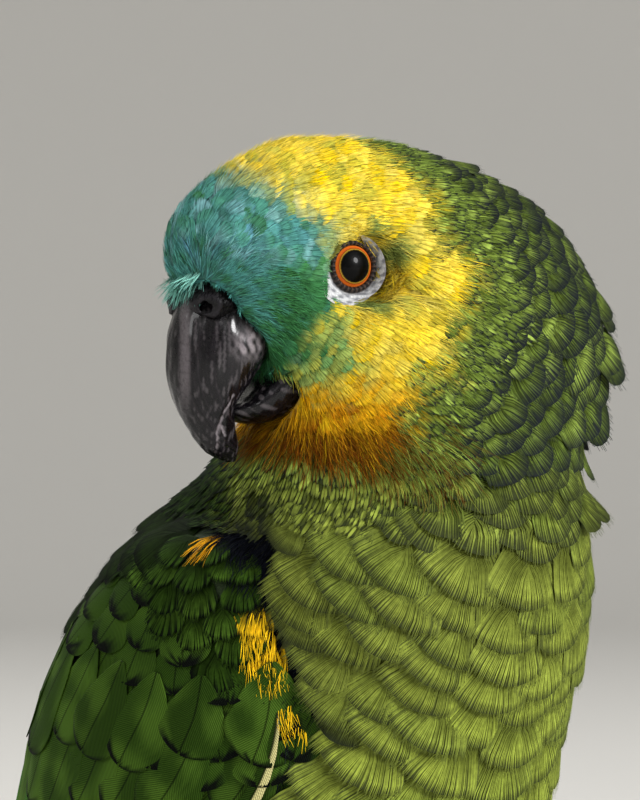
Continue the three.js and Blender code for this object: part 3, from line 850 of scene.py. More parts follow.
@dataclass(frozen=True)
class FeatherVane(Finish):
    """A closed vane of zipped barbs: fine slanting lines, a dark shaft and a satin surface."""

    name: str = "feather_vane"
    barb_mm: float = 0.6  # drawn a little coarser than the real 0.3 mm, so that it shows
    slant: float = 1.1  # how far a barb runs along the feather for each step outward
    line_depth: float = 0.5
    roughness: float = 0.58

    def surface(self, node: NodeMaker) -> dict:
        """Painted colours with barbs. The vane map holds millimetres across and along the feather.

        Args:
            node: Adds a node to the material.

        Returns:
            The shader's inputs, by name.
        """
        parts = node("SeparateXYZ", inputs={"Vector": node("UVMap", {"uv_map": "vane"})})
        across = node("Math", {"operation": "ABSOLUTE"}, {0: parts.outputs["X"]})
        sweep = node("Math", {"operation": "MULTIPLY"}, {0: across, 1: self.slant})
        along = node("Math", {"operation": "SUBTRACT"}, {0: parts.outputs["Y"], 1: sweep})
        phase = node("Math", {"operation": "MULTIPLY"}, {0: along, 1: 2.0 * math.pi / self.barb_mm})
        wave = node("Math", {"operation": "SINE"}, {0: phase})
        # The barbs' lines: painted shade in the grooves between barbs and painted light on their ridges,
        # matched by the bump
        light = node("MapRange", inputs={
            "Value": wave, "From Min": -1.0, "From Max": 1.0,
            "To Min": 1.0 - self.line_depth, "To Max": 1.0 + 0.4 * self.line_depth})
        shaft = node("MapRange", inputs={
            "Value": across, "From Min": 0.10, "From Max": 0.30, "To Min": 0.35, "To Max": 1.0})
        both = node("Math", {"operation": "MULTIPLY"}, {0: light, 1: shaft})
        bump = node("Bump", inputs={"Height": wave, "Strength": 0.35, "Distance": 0.06 * MM})
        return {"Base Color": self.painted(node, both), "Roughness": self.roughness,
                "Specular IOR Level": 0.03, "Normal": bump}


@dataclass(frozen=True)
class FeatheredSkin(Finish):
    """Skin and down under the coat: the plumage's colours, dark for the down and for painted shade under
    the coat, and soft.
    """

    name: str = "down_and_skin"
    shade: float = 0.45
    tuft_mm: float = 0.8

    def surface(self, node: NodeMaker) -> dict:
        """Painted colours in shade, with tufts of down.

        Args:
            node: Adds a node to the material.

        Returns:
            The shader's inputs, by name.
        """
        down = self.grain(node, 1.0 / (self.tuft_mm * MM), 4.0)
        level = node("MapRange", inputs={
            "Value": down, "To Min": self.shade * 0.5, "To Max": self.shade * 1.5})
        bump = node("Bump", inputs={"Height": down, "Strength": 0.6, "Distance": 0.3 * MM})
        return {"Base Color": self.painted(node, level), "Roughness": 0.9, "Normal": bump}


@dataclass(frozen=True)
class BillHorn(Finish):
    """Grown keratin: polished black horn, with grey-brown growth streaks, dull worn places and a painted
    highlight band.
    """

    name: str = "bill_keratin"
    streak_mm: float = 0.9

    def surface(self, node: NodeMaker) -> dict:
        """Streaks, wear and a painted highlight. The vane map holds millimetres round and along the
        bill.

        Args:
            node: Adds a node to the material.

        Returns:
            The shader's inputs, by name.
        """
        vane = node("UVMap", {"uv_map": "vane"})
        streaks = node("Mapping", inputs={
            "Vector": vane, "Scale": (1.0 / self.streak_mm, 0.02 / self.streak_mm, 1.0)})
        grain = node("TexNoise", inputs={
            "Vector": streaks, "Scale": 1.0, "Detail": 5.0, "Roughness": 0.65})
        fine = node("TexNoise", inputs={"Vector": vane, "Scale": 1.6, "Detail": 6.0, "Roughness": 0.7})
        base = node("ValToRGB", inputs={"Fac": grain}, stops=(
            (0.0, "040405"), (0.45, "08070a"), (0.58, "141115"), (0.70, "292326"), (1.0, "4c4343")))
        # The pale tone of worn horn, also used for the painted highlight band
        pale = node("Mix", {"data_type": "RGBA"}, {"Factor": fine, 6: rgba("453f44"), 7: rgba("a39a9e")})
        # The red of the painted colours: the share of wear and of the painted highlight
        wear_and_sheen = node("SeparateColor", inputs={"Color": node("VertexColor", {"layer_name": "plumage"})})
        colour = node("Mix", {"data_type": "RGBA"}, {"Factor": wear_and_sheen, 6: base, 7: pale.outputs[2]})
        rough = node("MapRange", inputs={
            "Value": fine, "From Min": 0.3, "From Max": 0.75, "To Min": 0.2, "To Max": 0.42})
        bump = node("Bump", inputs={"Height": grain, "Strength": 0.4, "Distance": 0.2 * MM})
        return {"Base Color": colour.outputs[2], "Roughness": rough, "Coat Weight": 0.35,
                "Coat Roughness": 0.12, "Specular IOR Level": 0.15, "Normal": bump}


@dataclass(frozen=True)
class PaintedSkin(Finish):
    """Bare skin or scales: colours set vertex by vertex, with fine pores."""

    roughness: float
    pore_mm: float
    depth_mm: float = 0.12
    level: float = 0.35

    def surface(self, node: NodeMaker) -> dict:
        """Painted colours with pores.

        Args:
            node: Adds a node to the material.

        Returns:
            The shader's inputs, by name.
        """
        pores = node("TexVoronoi", inputs={
            "Vector": node("TexCoord").outputs["Object"], "Scale": 1.0 / (self.pore_mm * MM)})
        level = node("MapRange", inputs={
            "Value": pores, "From Max": 0.8,
            "To Min": 1.0 + self.level * 0.5, "To Max": 1.0 - self.level})
        bump = node("Bump", {"invert": True}, {
            "Height": pores, "Strength": 0.7, "Distance": self.depth_mm * MM})
        return {"Base Color": self.painted(node, level), "Roughness": self.roughness,
                "Specular IOR Level": 0.25, "Normal": bump}


@dataclass(frozen=True)
class EyeSurface(Finish):
    """A wet eyeball: a black pupil in an orange iris with a gold inner ring, under a clear film."""

    name: str = "wet_eye"

    def surface(self, node: NodeMaker) -> dict:
        """Rings of colour. The attribute reach holds millimetres from the eye's axis.

        Args:
            node: Adds a node to the material.

        Returns:
            The shader's inputs, by name.
        """
        reach = node("Attribute", {"attribute_name": "reach"}).outputs["Fac"]
        turn = node("Attribute", {"attribute_name": "turn"}).outputs["Fac"]
        squeezed = node("Mapping", inputs={
            "Vector": node("CombineXYZ", inputs={"X": turn, "Y": reach}), "Scale": (60.0, 1.2, 1.0)})
        noise = node("TexNoise", inputs={"Vector": squeezed, "Scale": 1.0, "Detail": 3.0})
        shifted = node("Math", {"operation": "MULTIPLY_ADD"}, {0: noise, 1: 0.28, 2: reach})
        share = node("Math", {"operation": "DIVIDE"}, {0: shifted, 1: 6.0})
        colour = node("ValToRGB", inputs={"Fac": share}, stops=(
            (0.0, "020202"), (0.545, "020202"), (0.562, "5a4612"), (0.585, "b08c2c"), (0.605, "6a3208"),
            (0.630, "b8501a"), (0.690, "d2691e"), (0.712, "6a2408"), (0.735, "120706"), (1.0, "080507")))
        return {"Base Color": colour, "Roughness": 0.4, "Specular IOR Level": 0.05, "Coat Weight": 0.6,
                "Coat Roughness": 0.03, "Coat IOR": 1.18}


@dataclass(frozen=True)
class ClawHorn(Finish):
    """Dark keratin, worn smooth, in clouded tones."""

    name: str = "claw_keratin"
    cloud_mm: float = 1.5

    def surface(self, node: NodeMaker) -> dict:
        """Clouded dark horn.

        Args:
            node: Adds a node to the material.

        Returns:
            The shader's inputs, by name.
        """
        clouds = self.grain(node, 1.0 / (self.cloud_mm * MM), 4.0)
        stops = ((0.3, "17140f"), (0.6, "2c2722"), (0.9, "4d453d"))
        colour = node("ValToRGB", inputs={"Fac": clouds}, stops=stops)
        return {"Base Color": colour, "Roughness": 0.35, "Coat Weight": 0.2}


@dataclass(frozen=True)
class MattPaper(Finish):
    """The pale backdrop: seamless matt paper."""

    name: str = "pale_paper"
    colour: str = "cfcdc8"

    def surface(self, node: NodeMaker) -> dict:
        """Even colour with a faint tooth.

        Args:
            node: Adds a node to the material.

        Returns:
            The shader's inputs, by name.
        """
        bump = node("Bump", inputs={
            "Height": self.grain(node, 900.0, 2.0), "Strength": 0.05, "Distance": 0.2 * MM})
        return {"Base Color": rgba(self.colour), "Roughness": 0.95, "Normal": bump}


# ---- Skin -------------------------------------------------------------------------------


class SkinSurface:
    """A triangulated surface that feathers are laid on."""

    def __init__(self, mesh: bpy.types.Mesh, region: np.ndarray) -> None:
        """Reads the mesh. Region holds one number for each vertex.

        Args:
            mesh: The mesh.
            region: Region number of each vertex.
        """
        self.verts = vertex_array(mesh)
        self.region = region
        normals = np.empty(len(mesh.vertices) * 3, np.float32)
        mesh.vertex_normals.foreach_get("vector", normals)
        self.normals = normals.reshape(-1, 3).astype(float)
        mesh.calc_loop_triangles()
        count = len(mesh.loop_triangles)
        tris, loops = np.empty(count * 3, np.int32), np.empty(count * 3, np.int32)
        mesh.loop_triangles.foreach_get("vertices", tris)
        mesh.loop_triangles.foreach_get("loops", loops)
        self.tris = tris.reshape(-1, 3)
        self.tri_uv = np.zeros((count, 3, 2))
        if mesh.uv_layers:
            uv = np.empty(len(mesh.loops) * 2, np.float32)
            mesh.uv_layers[0].data.foreach_get("uv", uv)
            self.tri_uv = uv.reshape(-1, 2)[loops.reshape(-1, 3)].astype(float)
        self.tree = BVHTree.FromPolygons(self.verts.tolist(), self.tris.tolist())

    def nearest(self, points: np.ndarray) -> tuple[np.ndarray, np.ndarray, np.ndarray]:
        """Nearest places on the surface, their smooth normals and triangles.

        Args:
            points: Places in the frame, in metres.

        Returns:
            Places, unit normals and triangle indices.
        """
        found = [self.tree.find_nearest(p) for p in points.tolist()]
        places = np.array([f[0] for f in found])
        index = np.array([f[2] for f in found])
        share = self.shares(places, index)
        normals = (self.normals[self.tris[index]] * share[..., None]).sum(1)
        return places, unit(normals), index

    def sites(self, points: np.ndarray, region: Optional[Region] = None) -> "Site":
        """The places nearest to points, in their own regions or in one that is given.

        Args:
            points: Places in the frame, in metres.
            region: The region to give them, if not their own.

        Returns:
            The sites.
        """
        found, normal, index = self.nearest(points)
        own = self.region[self.tris[index, 0]]
        return Site(found, normal, own if region is None else np.full(len(own), region.value), index)

    def shares(self, places: np.ndarray, index: np.ndarray) -> np.ndarray:
        """Barycentric shares of places in triangles.

        Args:
            places: Places on the surface.
            index: The triangle of each.

        Returns:
            Three shares for each.
        """
        a, b, c = (self.verts[self.tris[index, k]] for k in range(3))
        ab, ac, ap = b - a, c - a, places - a
        d00, d01, d11 = (ab * ab).sum(1), (ab * ac).sum(1), (ac * ac).sum(1)
        d20, d21 = (ap * ab).sum(1), (ap * ac).sum(1)
        across = np.maximum(d00 * d11 - d01 * d01, 1e-24)
        v, w = (d11 * d20 - d01 * d21) / across, (d00 * d21 - d01 * d20) / across
        return np.stack([1.0 - v - w, v, w], axis=1)

    def bake_uv(self, places: np.ndarray, index: np.ndarray) -> np.ndarray:
        """The unwrap's coordinates at places."""
        return (self.tri_uv[index] * self.shares(places, index)[..., None]).sum(1)

    def scatter(self, spacing_mm: Spacing, seed: int,
                stretch: float = 1.0) -> "Site":
        """Spreads roots over the surface, no two nearer than the spacing there.

        Args:
            spacing_mm: Spacing at sites along the lie, and 0 where nothing grows.
            seed: Fixes the spread.
            stretch: How much wider the spacing is across the lie, which sets feathers in rows.

        Returns:
            The sites that were kept.
        """
        rng = np.random.default_rng(seed)
        corners = self.verts[self.tris]
        centres = corners.mean(1)
        here = Site(centres, unit(self.normals[self.tris].mean(1)), self.region[self.tris[:, 0]],
                    np.arange(len(self.tris)))
        gap = spacing_mm(here) * MM * PACKING
        area = 0.5 * np.linalg.norm(
            np.cross(corners[:, 1] - corners[:, 0], corners[:, 2] - corners[:, 0]), axis=1)
        wanted = np.where(gap > 0, 12.0 * area / (np.maximum(gap, 1e-5) ** 2 * stretch), 0.0)
        tries = int(wanted.sum())
        index = rng.choice(len(self.tris), tries, p=wanted / wanted.sum())
        a, b = rng.random(tries), rng.random(tries)
        over = a + b > 1.0
        a[over], b[over] = 1.0 - a[over], 1.0 - b[over]
        picked = corners[index]
        places = picked[:, 0] + (picked[:, 1] - picked[:, 0]) * a[:, None] + (
            picked[:, 2] - picked[:, 0]) * b[:, None]
        cell = gap[index].max() * stretch
        cells = np.floor(places / cell).astype(int).tolist()
        lie = LIE.direction(places, unit(self.normals[self.tris[index]].mean(1)),
                            self.region[self.tris[index, 0]])
        kept: list[int] = []
        grid: dict[tuple[int, int, int], list[tuple[float, float, float]]] = {}
        shifts = [(i, j, k) for i in (-1, 0, 1) for j in (-1, 0, 1) for k in (-1, 0, 1)]
        squash = 1.0 / stretch**2
        for i, (p, (cx, cy, cz), g, d) in enumerate(
                zip(places.tolist(), cells, (gap[index] ** 2).tolist(), lie.tolist())):
            clear = True
            for sx, sy, sz in shifts:
                for q in grid.get((cx + sx, cy + sy, cz + sz), ()):
                    x, y, z = p[0] - q[0], p[1] - q[1], p[2] - q[2]
                    along = (x * d[0] + y * d[1] + z * d[2]) ** 2
                    if along + (x * x + y * y + z * z - along) * squash < g:
                        clear = False
                        break
                if not clear:
                    break
            if clear:
                grid.setdefault((cx, cy, cz), []).append(p)
                kept.append(i)
        places, index = places[kept], index[kept]
        normals = (self.normals[self.tris[index]] * self.shares(places, index)[..., None]).sum(1)
        return Site(places, unit(normals), self.region[self.tris[index, 0]], index)

    def evened(self, site: "Site", spacing_mm: Spacing, stretch: float,
               rounds: int = 10) -> "Site":
        """Pushes crowded roots apart, so that the feathers fall into rows.

        Args:
            site: The roots.
            spacing_mm: Spacing at sites, and 0 where nothing grows.
            stretch: How much wider the spacing is across the lie.
            rounds: How often they are pushed.

        Returns:
            The moved roots.
        """
        reach = 1.32 * PACKING * MM * filled(spacing_mm(site))
        for _ in range(rounds):
            tree = KDTree(len(site.points))
            for i, p in enumerate(site.points.tolist()):
                tree.insert(p, i)
            tree.balance()
            near = np.array([[found[1] for found in tree.find_n(p, 13)] for p in site.points.tolist()])
            offset = site.points[:, None] - site.points[near[:, 1:]]
            along = (offset * site.lie()[:, None]).sum(-1)
            across = (offset**2).sum(-1) - along**2
            apart = np.sqrt(along**2 + np.maximum(across, 0.0) / stretch**2) + 1e-6
            push = np.clip(reach[:, None] / apart - 1.0, 0.0, 0.8)
            move = (offset * push[..., None]).sum(1) * 0.14
            trial = self.sites(site.points + move)
            fits = (spacing_mm(trial) > 0)[:, None]
            index = np.where(fits[:, 0], trial.index, site.index)
            points = np.where(fits, trial.points, site.points)
            normals = np.where(fits, trial.normals, site.normals)
            site = Site(points, normals, self.region[self.tris[index, 0]], index)
        return site


@dataclass
class Site:
    """Places on the skin, with what the coat needs to know there."""

    points: np.ndarray
    normals: np.ndarray
    region: np.ndarray
    index: np.ndarray

    def __post_init__(self) -> None:
        """Works out the head's coordinates."""
        self.local = HEAD.local(self.points)
        self.mm = self.points / MM
        self.behind = MARKINGS.behind_face(self.points)

    def of(self, region: Region) -> np.ndarray:
        """Which of the places are in a region."""
        return self.region == region.value

    def lie(self) -> np.ndarray:
        """The lie of the coat at the places."""
        return LIE.direction(self.points, self.normals, self.region)

    def kept(self, mask: np.ndarray) -> "Site":
        """The places where the mask holds."""
        return Site(self.points[mask], self.normals[mask], self.region[mask], self.index[mask])


@dataclass
class Skin:
    """One skin over head, neck, trunk, wings, thighs and the root of the tail."""

    voxel: float = 1.2 * MM
    grow: float = 0.6 * MM  # so that neighbouring solids flow together
    thin_share: float = 0.42  # of the local thickness, the most that the skin lies inside
    tail_cut: tuple[float, float, float] = (0.0, 40.5, 46.9)  # where the tail's root ends
    piece: bpy.types.Object = field(init=False)
    surface: SkinSurface = field(init=False)

    def build(self, orbits: "Sequence[Orbit]") -> None:
        """Wraps the flesh, moves the wrap inside by the coat's depth and paints it.

        Args:
            orbits: The eyes' surroundings, which keep free of flesh.
        """
        nodes = tuple(REGION_OF_NODE)
        source = node_mesh([n for n in nodes if n != "tail"], self.grow)
        tail = node_mesh(["tail"], self.grow)
        cut = bmesh.ops.bisect_plane(
            tail, geom=tail.verts[:] + tail.edges[:] + tail.faces[:], dist=1e-6,
            plane_co=Vector(self.tail_cut) * MM, plane_no=Vector(TAIL_ALONG.tolist()),
            clear_outer=True)
        rim = [e for e in cut["geom_cut"] if isinstance(e, bmesh.types.BMEdge)]
        bmesh.ops.holes_fill(tail, edges=rim)
        stump = bpy.data.meshes.new("stump")
        tail.to_mesh(stump)
        tail.free()
        source.from_mesh(stump)
        bpy.data.meshes.remove(stump)
        mesh = remeshed(source, self.voxel, 4)
        region = self.regions(mesh, nodes)
        verts = self.sunk(mesh, region)
        for orbit in orbits:
            verts = orbit.carved(verts)
        self.piece = finished("skin", mesh, verts, FeatheredSkin().build())
        self.unwrap()
        self.surface = SkinSurface(mesh, region)
        add_plumage(mesh, MARKINGS.colour(self.surface.verts, region))
        put(self.piece, "breast_feathers", *nodes)

    def regions(self, mesh: bpy.types.Mesh, nodes: Sequence[str]) -> np.ndarray:
        """The region of each vertex, from the CAD node nearest to it.

        Args:
            mesh: The wrap.
            nodes: CAD nodes inside it.

        Returns:
            Region numbers.
        """
        corners: list[Vector] = []
        tris: list[tuple[int, ...]] = []
        label: list[int] = []
        for name in nodes:
            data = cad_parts[name].data
            data.calc_loop_triangles()
            first = len(corners)
            corners.extend(v.co.copy() for v in data.vertices)
            tris.extend(tuple(first + i for i in t.vertices) for t in data.loop_triangles)
            label.extend([REGION_OF_NODE[name].value] * len(data.loop_triangles))
        tree = BVHTree.FromPolygons(corners, tris)
        return np.array([label[tree.find_nearest(p)[2]] for p in vertex_array(mesh).tolist()])

    def depth(self, points: np.ndarray, region: np.ndarray) -> np.ndarray:
        """How deep the coat is, in metres.

        Args:
            points: Places in the frame, in metres.
            region: Region number of each.

        Returns:
            Metres.
        """
        local = HEAD.local(points)
        forward, up = local[:, 0], local[:, 2]
        face = np.interp(np.hypot(forward - 20.0, up + 10.0), (6.0, 14.0, 26.0), (0.8, 1.2, 1.4))
        behind = smoothstep(-2.0, 10.0, MARKINGS.behind_face(points))
        head = face + (2.3 - face) * np.maximum(behind, smoothstep(-26.0, -38.0, up))
        by_region = np.array([0.0, 2.6, 2.6, 1.6, 2.2, 1.6])[region]
        on_wing = region == Region.WING.value
        if on_wing.any():
            share, _ = along_wing(points[on_wing] / MM)
            by_region[on_wing] += 1.0 * smoothstep(0.36, 0.46, share)
        return np.where(region == Region.HEAD.value, head, by_region) * MM

    def sunk(self, mesh: bpy.types.Mesh, region: np.ndarray) -> np.ndarray:
        """The vertices moved inside by the coat's depth, and evened out.

        Args:
            mesh: The wrap.
            region: Region number of each vertex.

        Returns:
            The moved vertices.
        """
        surface = SkinSurface(mesh, region)
        verts, normals = surface.verts, surface.normals
        thick = np.full(len(verts), 1.0)
        for i, (p, n) in enumerate(zip(verts, normals)):
            hit = struck(surface.tree, p, n, -1e-5)
            if hit[3] is not None:
                thick[i] = hit[3]
        push = np.minimum(self.grow + self.depth(verts, region), self.thin_share * thick)
        edges = np.array([e.vertices[:] for e in mesh.edges])
        push = self.evened(push[:, None], edges, 6)[:, 0]
        return self.evened(verts - normals * push[:, None], edges, 3)

    @staticmethod
    def evened(values: np.ndarray, edges: np.ndarray, rounds: int) -> np.ndarray:
        """Values averaged with their neighbours' over the mesh, half way, some rounds.

        Args:
            values: One row for each vertex.
            edges: Pairs of vertices.
            rounds: How often.

        Returns:
            The averaged rows.
        """
        count = np.bincount(edges.ravel(), minlength=len(values))[:, None]
        for _ in range(rounds):
            total = np.zeros_like(values)
            for k in range(values.shape[1]):
                ahead = np.bincount(edges[:, 0], values[edges[:, 1], k], len(values))
                total[:, k] = ahead + np.bincount(edges[:, 1], values[edges[:, 0], k], len(values))
            values = 0.5 * values + 0.5 * total / count
        return values

    def unwrap(self) -> None:
        """Gives the skin its own unwrap, which the coat's patches share."""
        bpy.ops.object.select_all(action="DESELECT")
        bpy.context.view_layer.objects.active = self.piece
        self.piece.select_set(True)
        self.piece.data.uv_layers.new(name="OFBake")
        bpy.ops.object.mode_set(mode="EDIT")
        bpy.ops.mesh.select_all(action="SELECT")
        bpy.ops.uv.smart_project(angle_limit=math.radians(66.0), island_margin=0.004)
        bpy.ops.object.mode_set(mode="OBJECT")



# ---- How the feathers lie ---------------------------------------------------------------


class Lie:
    """The direction of the coat: back from the bill over the head, then down the body."""

    HEAD_SOURCE = (20.0, 0.0, -8.0)  # the face's feathers fan out from the bill's root
    DROOP = 0.45
    BODY = (0.0, 0.55, -0.83)
    SPREAD = 0.30  # sideways, away from the breast's middle
    THIGH = (0.0, 0.15, -1.0)

    def direction(self, points: np.ndarray, normals: np.ndarray, region: np.ndarray) -> np.ndarray:
        """Unit vectors along the skin, for places on it.

        Args:
            points: Places on the skin.
            normals: The skin's normals there.
            region: Region number of each.

        Returns:
            Unit vectors.
        """
        local = HEAD.local(points)
        away = unit(local - np.array(self.HEAD_SOURCE))
        away[:, 2] -= self.DROOP
        head = away @ HEAD.axes
        side = np.sign(points[:, 0])
        body = np.broadcast_to(np.array(self.BODY), points.shape).copy()
        front = smoothstep(0.2, -0.8, normals[:, 1]) * np.clip(np.abs(points[:, 0]) / (14.0 * MM), 0, 1)
        body[:, 0] += side * self.SPREAD * front
        share = smoothstep(-36.0, -50.0, local[:, 2])
        flow = np.where(((region == Region.HEAD.value) | (region == Region.NECK.value))[:, None],
                        mix(head, body, share), body).copy()
        on_wing = region == Region.WING.value
        if on_wing.any():
            share, across = along_wing(points[on_wing] / MM)
            near = np.stack([share - 0.02, share + 0.02])
            lead, trail = (np.diff(through(edge, near), axis=0)[0]
                           for edge in (LEADING_EDGE, TRAILING_EDGE))
            wing = mix(unit(lead), unit(trail), across)
            wing[:, 0] *= side[on_wing]
            flow[on_wing] = wing
        flow = np.where((region == Region.THIGH.value)[:, None], np.array(self.THIGH), flow)
        flow = np.where((region == Region.TAIL.value)[:, None], TAIL_ALONG, flow)
        return unit(flow - normals * (flow * normals).sum(1, keepdims=True))


LIE = Lie()


@dataclass
class Blades:
    """Control points that feathers are bent over: stations along each, and left, middle, right."""

    points: np.ndarray  # feather, station, side, xyz
    normals: np.ndarray
    half_width: np.ndarray  # metres
    length: np.ndarray  # metres

    def kept(self, mask: np.ndarray) -> "Blades":
        """The feathers where the mask holds."""
        return Blades(self.points[mask], self.normals[mask], self.half_width[mask], self.length[mask])

    def place(self, t: np.ndarray, y: np.ndarray, height: np.ndarray) -> np.ndarray:
        """Positions on the feathers.

        Args:
            t: Share of the length, for each feather and point.
            y: Metres sideways.
            height: Metres above the control surface.

        Returns:
            Positions, for each feather and point.
        """
        last = self.points.shape[1] - 1
        at = np.clip(t, 0.0, 1.2) * last
        k = np.minimum(at.astype(int), last - 1)
        share = (at - k)[..., None]
        row = np.arange(len(self.points))[:, None]
        side = (y / self.half_width[:, None])[..., None]
        bent, up = (self.bowed([grid[row, k, c] * (1 - share) + grid[row, k + 1, c] * share
                                for c in range(3)], side) for grid in (self.points, self.normals))
        return bent + unit(up) * height[..., None]

    @staticmethod
    def bowed(across: list[np.ndarray], side: np.ndarray) -> np.ndarray:
        """The parabola through left, middle and right, at places from -1 to 1."""
        left, mid, right = across
        return mid + (right - left) / 2 * side + (right + left - 2 * mid) / 2 * side**2


def over_surface(surface: SkinSurface, spines: np.ndarray, normals: np.ndarray,
                 half_width: np.ndarray, length: np.ndarray) -> Blades:
    """Control points beside spines that lie on a surface.

    Args:
        surface: What the feathers lie on.
        spines: Feather, station, xyz.
        normals: The surface's normals there.
        half_width: Metres, for each feather.
        length: Metres, for each feather.

    Returns:
        The control points.
    """
    onward = unit(np.gradient(spines, axis=1))
    across = unit(np.cross(normals, onward))
    width = half_width[:, None, None]
    points, sides = [spines], [normals]
    for sign in (-1.0, 1.0):
        wanted = spines + sign * across * width
        flat = wanted.reshape(-1, 3)
        found, found_normal, _ = surface.nearest(flat)
        found, found_normal = found.reshape(spines.shape), found_normal.reshape(spines.shape)
        drop = ((found - wanted) * normals).sum(-1, keepdims=True)
        turned = (found_normal * normals).sum(-1, keepdims=True)
        limit = 0.55 * width
        lost = (np.abs(drop) > limit) | (turned < 0.25) | (
            np.linalg.norm(found - wanted, axis=-1, keepdims=True) > 0.8 * width)
        tangent_place = wanted - normals * 0.3 * width * (drop < 0)
        kept = np.where(lost, tangent_place, found)
        kept_normal = np.where(lost, unit(normals + 0.4 * sign * across), found_normal)
        points.append(kept)
        sides.append(kept_normal)
    order = (1, 0, 2)
    points, sides = (np.stack([part[i] for i in order], axis=2) for part in (points, sides))
    return Blades(points, sides, half_width, length)


def march(surface: SkinSurface, site: Site, length: np.ndarray,
          stations: int) -> tuple[np.ndarray, np.ndarray]:
    """Spines that run over the skin with the lie of the coat.

    Args:
        surface: The skin.
        site: The roots.
        length: Metres, for each feather.
        stations: Points along each spine.

    Returns:
        Spines and their normals: feather, station, xyz.
    """
    here, normal = site.points, site.normals
    heading = site.lie()
    spines, normals = [here], [normal]
    step = (length / (stations - 1))[:, None]
    for _ in range(stations - 1):
        ahead = here + heading * step
        found, found_normal, index = surface.nearest(ahead)
        slip = np.linalg.norm(found - ahead, axis=1, keepdims=True)
        turned = (found_normal * normal).sum(1, keepdims=True)
        lost = (slip > 0.75 * step) | (turned < 0.35)
        drop = np.where(slip > 0.75 * step, 0.25 * step, 0.1 * step)
        here = np.where(lost, ahead - normal * drop, found)
        normal = unit(np.where(lost, unit(normal + 0.2 * heading), found_normal))
        region = surface.region[surface.tris[index, 0]]
        flow = LIE.direction(here, normal, region)
        same = (flow * heading).sum(1, keepdims=True) > 0.2
        heading = np.where(same & ~lost, unit(heading + 0.5 * flow), heading)
        heading = unit(heading - normal * (heading * normal).sum(1, keepdims=True))
        spines.append(here)
        normals.append(normal)
    return np.stack(spines, 1), np.stack(normals, 1)


def settled(surface: SkinSurface, site: Site, length: np.ndarray, half: np.ndarray, stations: int,
            limit_mm: float = 2.6) -> tuple[Blades, Site]:
    """Lays blades along the coat's lie; those that would stand in the air are shortened or dropped.

    Args:
        surface: The skin.
        site: The roots.
        length: Metres, for each feather.
        half: Half widths in metres.
        stations: Points along each spine.
        limit_mm: How far from the skin a blade may lie.

    Returns:
        The blades that stay and their sites.
    """
    for _ in range(2):
        spines, normals = march(surface, site, length, stations)
        blades = over_surface(surface, spines, normals, half, length)
        flat = blades.points.reshape(-1, 3)
        gap = np.array([surface.tree.find_nearest(p)[3] for p in flat.tolist()])
        stray = gap.reshape(len(length), -1).max(1) / MM
        share = np.clip(limit_mm / np.maximum(stray, 0.1), 0.4, 1.0)
        length, half = length * share, half * share
    stays = stray < 1.6 * limit_mm
    return blades.kept(stays), site.kept(stays)


# ---- Feathers ---------------------------------------------------------------------------


@dataclass
class Batch:
    """Feathers of one kind, still loose: arrays for each feather and vertex, and shared faces."""

    site: Site  # the roots
    points: np.ndarray  # feather, vertex, xyz
    colours: np.ndarray
    t: np.ndarray  # share of the length, for the bake's patch
    y: np.ndarray  # share of the half width, for the bake's patch
    faces: np.ndarray  # in one feather
    across_mm: Optional[np.ndarray] = None
    along_mm: Optional[np.ndarray] = None


class Coat:
    """Collects feathers and joins them as pieces of limited size."""

    def __init__(self, surface: SkinSurface) -> None:
        """Remembers the skin that the roots are on."""
        self.surface = surface
        self.triangles = 0

    def join(self, name: str, slot: str, batches: Sequence[Batch], material: bpy.types.Material,
             nodes: Sequence[str] = (), patch: float = BAKE_PATCH) -> None:
        """Joins batches with the same material as one or more pieces.

        Args:
            name: The pieces' common name.
            slot: The record's slot.
            batches: The feathers.
            material: Their finish.
            nodes: CAD nodes that the first piece stands for.
            patch: Width of one feather's patch on the unwrap.
        """
        parts = []
        for batch in batches:
            site = batch.site
            root_uv = self.surface.bake_uv(site.points, site.index)
            uv = root_uv[:, None, :] + np.stack([batch.y * 0.5, batch.t - 0.5], axis=-1) * patch
            per_feather = len(batch.faces) * (batch.faces.shape[1] - 2)
            most = max(1, COAT_PIECE_LIMIT // per_feather)
            order = np.argsort(site.points[:, 2] + 0.5 * site.points[:, 0])
            for first in range(0, len(order), most):
                parts.append((batch, uv, order[first : first + most], per_feather))
        groups: list[list] = []
        held = COAT_PIECE_LIMIT + 1
        for part in parts:
            size = len(part[2]) * part[3]
            if held + size > COAT_PIECE_LIMIT:
                groups.append([])
                held = 0
            groups[-1].append(part)
            held += size
        for number, group in enumerate(groups):
            piece = self.made(f"{name}_{number + 1}" if len(groups) > 1 else name, group, material)
            put(piece, slot, *(nodes if number == 0 else ()))
            self.triangles += sum(len(part[2]) * part[3] for part in group)

    @staticmethod
    def made(name: str, group: list, material: bpy.types.Material) -> bpy.types.Object:
        """One piece from parts of batches.

        Args:
            name: The piece's name.
            group: Batches, each with its unwrap and the numbers of the feathers to take.
            material: Their finish.

        Returns:
            The piece.
        """
        verts, colours, uvs, vanes, faces = [], [], [], [], []
        first = 0
        for batch, uv, chosen, _ in group:
            size = batch.points.shape[1]
            verts.append(batch.points[chosen].reshape(-1, 3))
            colours.append(batch.colours[chosen].reshape(-1, 3))
            uvs.append(uv[chosen].reshape(-1, 2))
            if batch.across_mm is not None:
                placed = np.stack([batch.across_mm[chosen], batch.along_mm[chosen]], -1)
                vanes.append(placed.reshape(-1, 2))
            starts = first + np.arange(len(chosen)) * size
            faces.append((batch.faces[None] + starts[:, None, None]).reshape(-1, batch.faces.shape[1]))
            first += len(chosen) * size
        return new_mesh_object(
            name, np.concatenate(verts), np.concatenate(faces), material, np.concatenate(colours),
            np.concatenate(uvs), np.concatenate(vanes) if vanes else None)


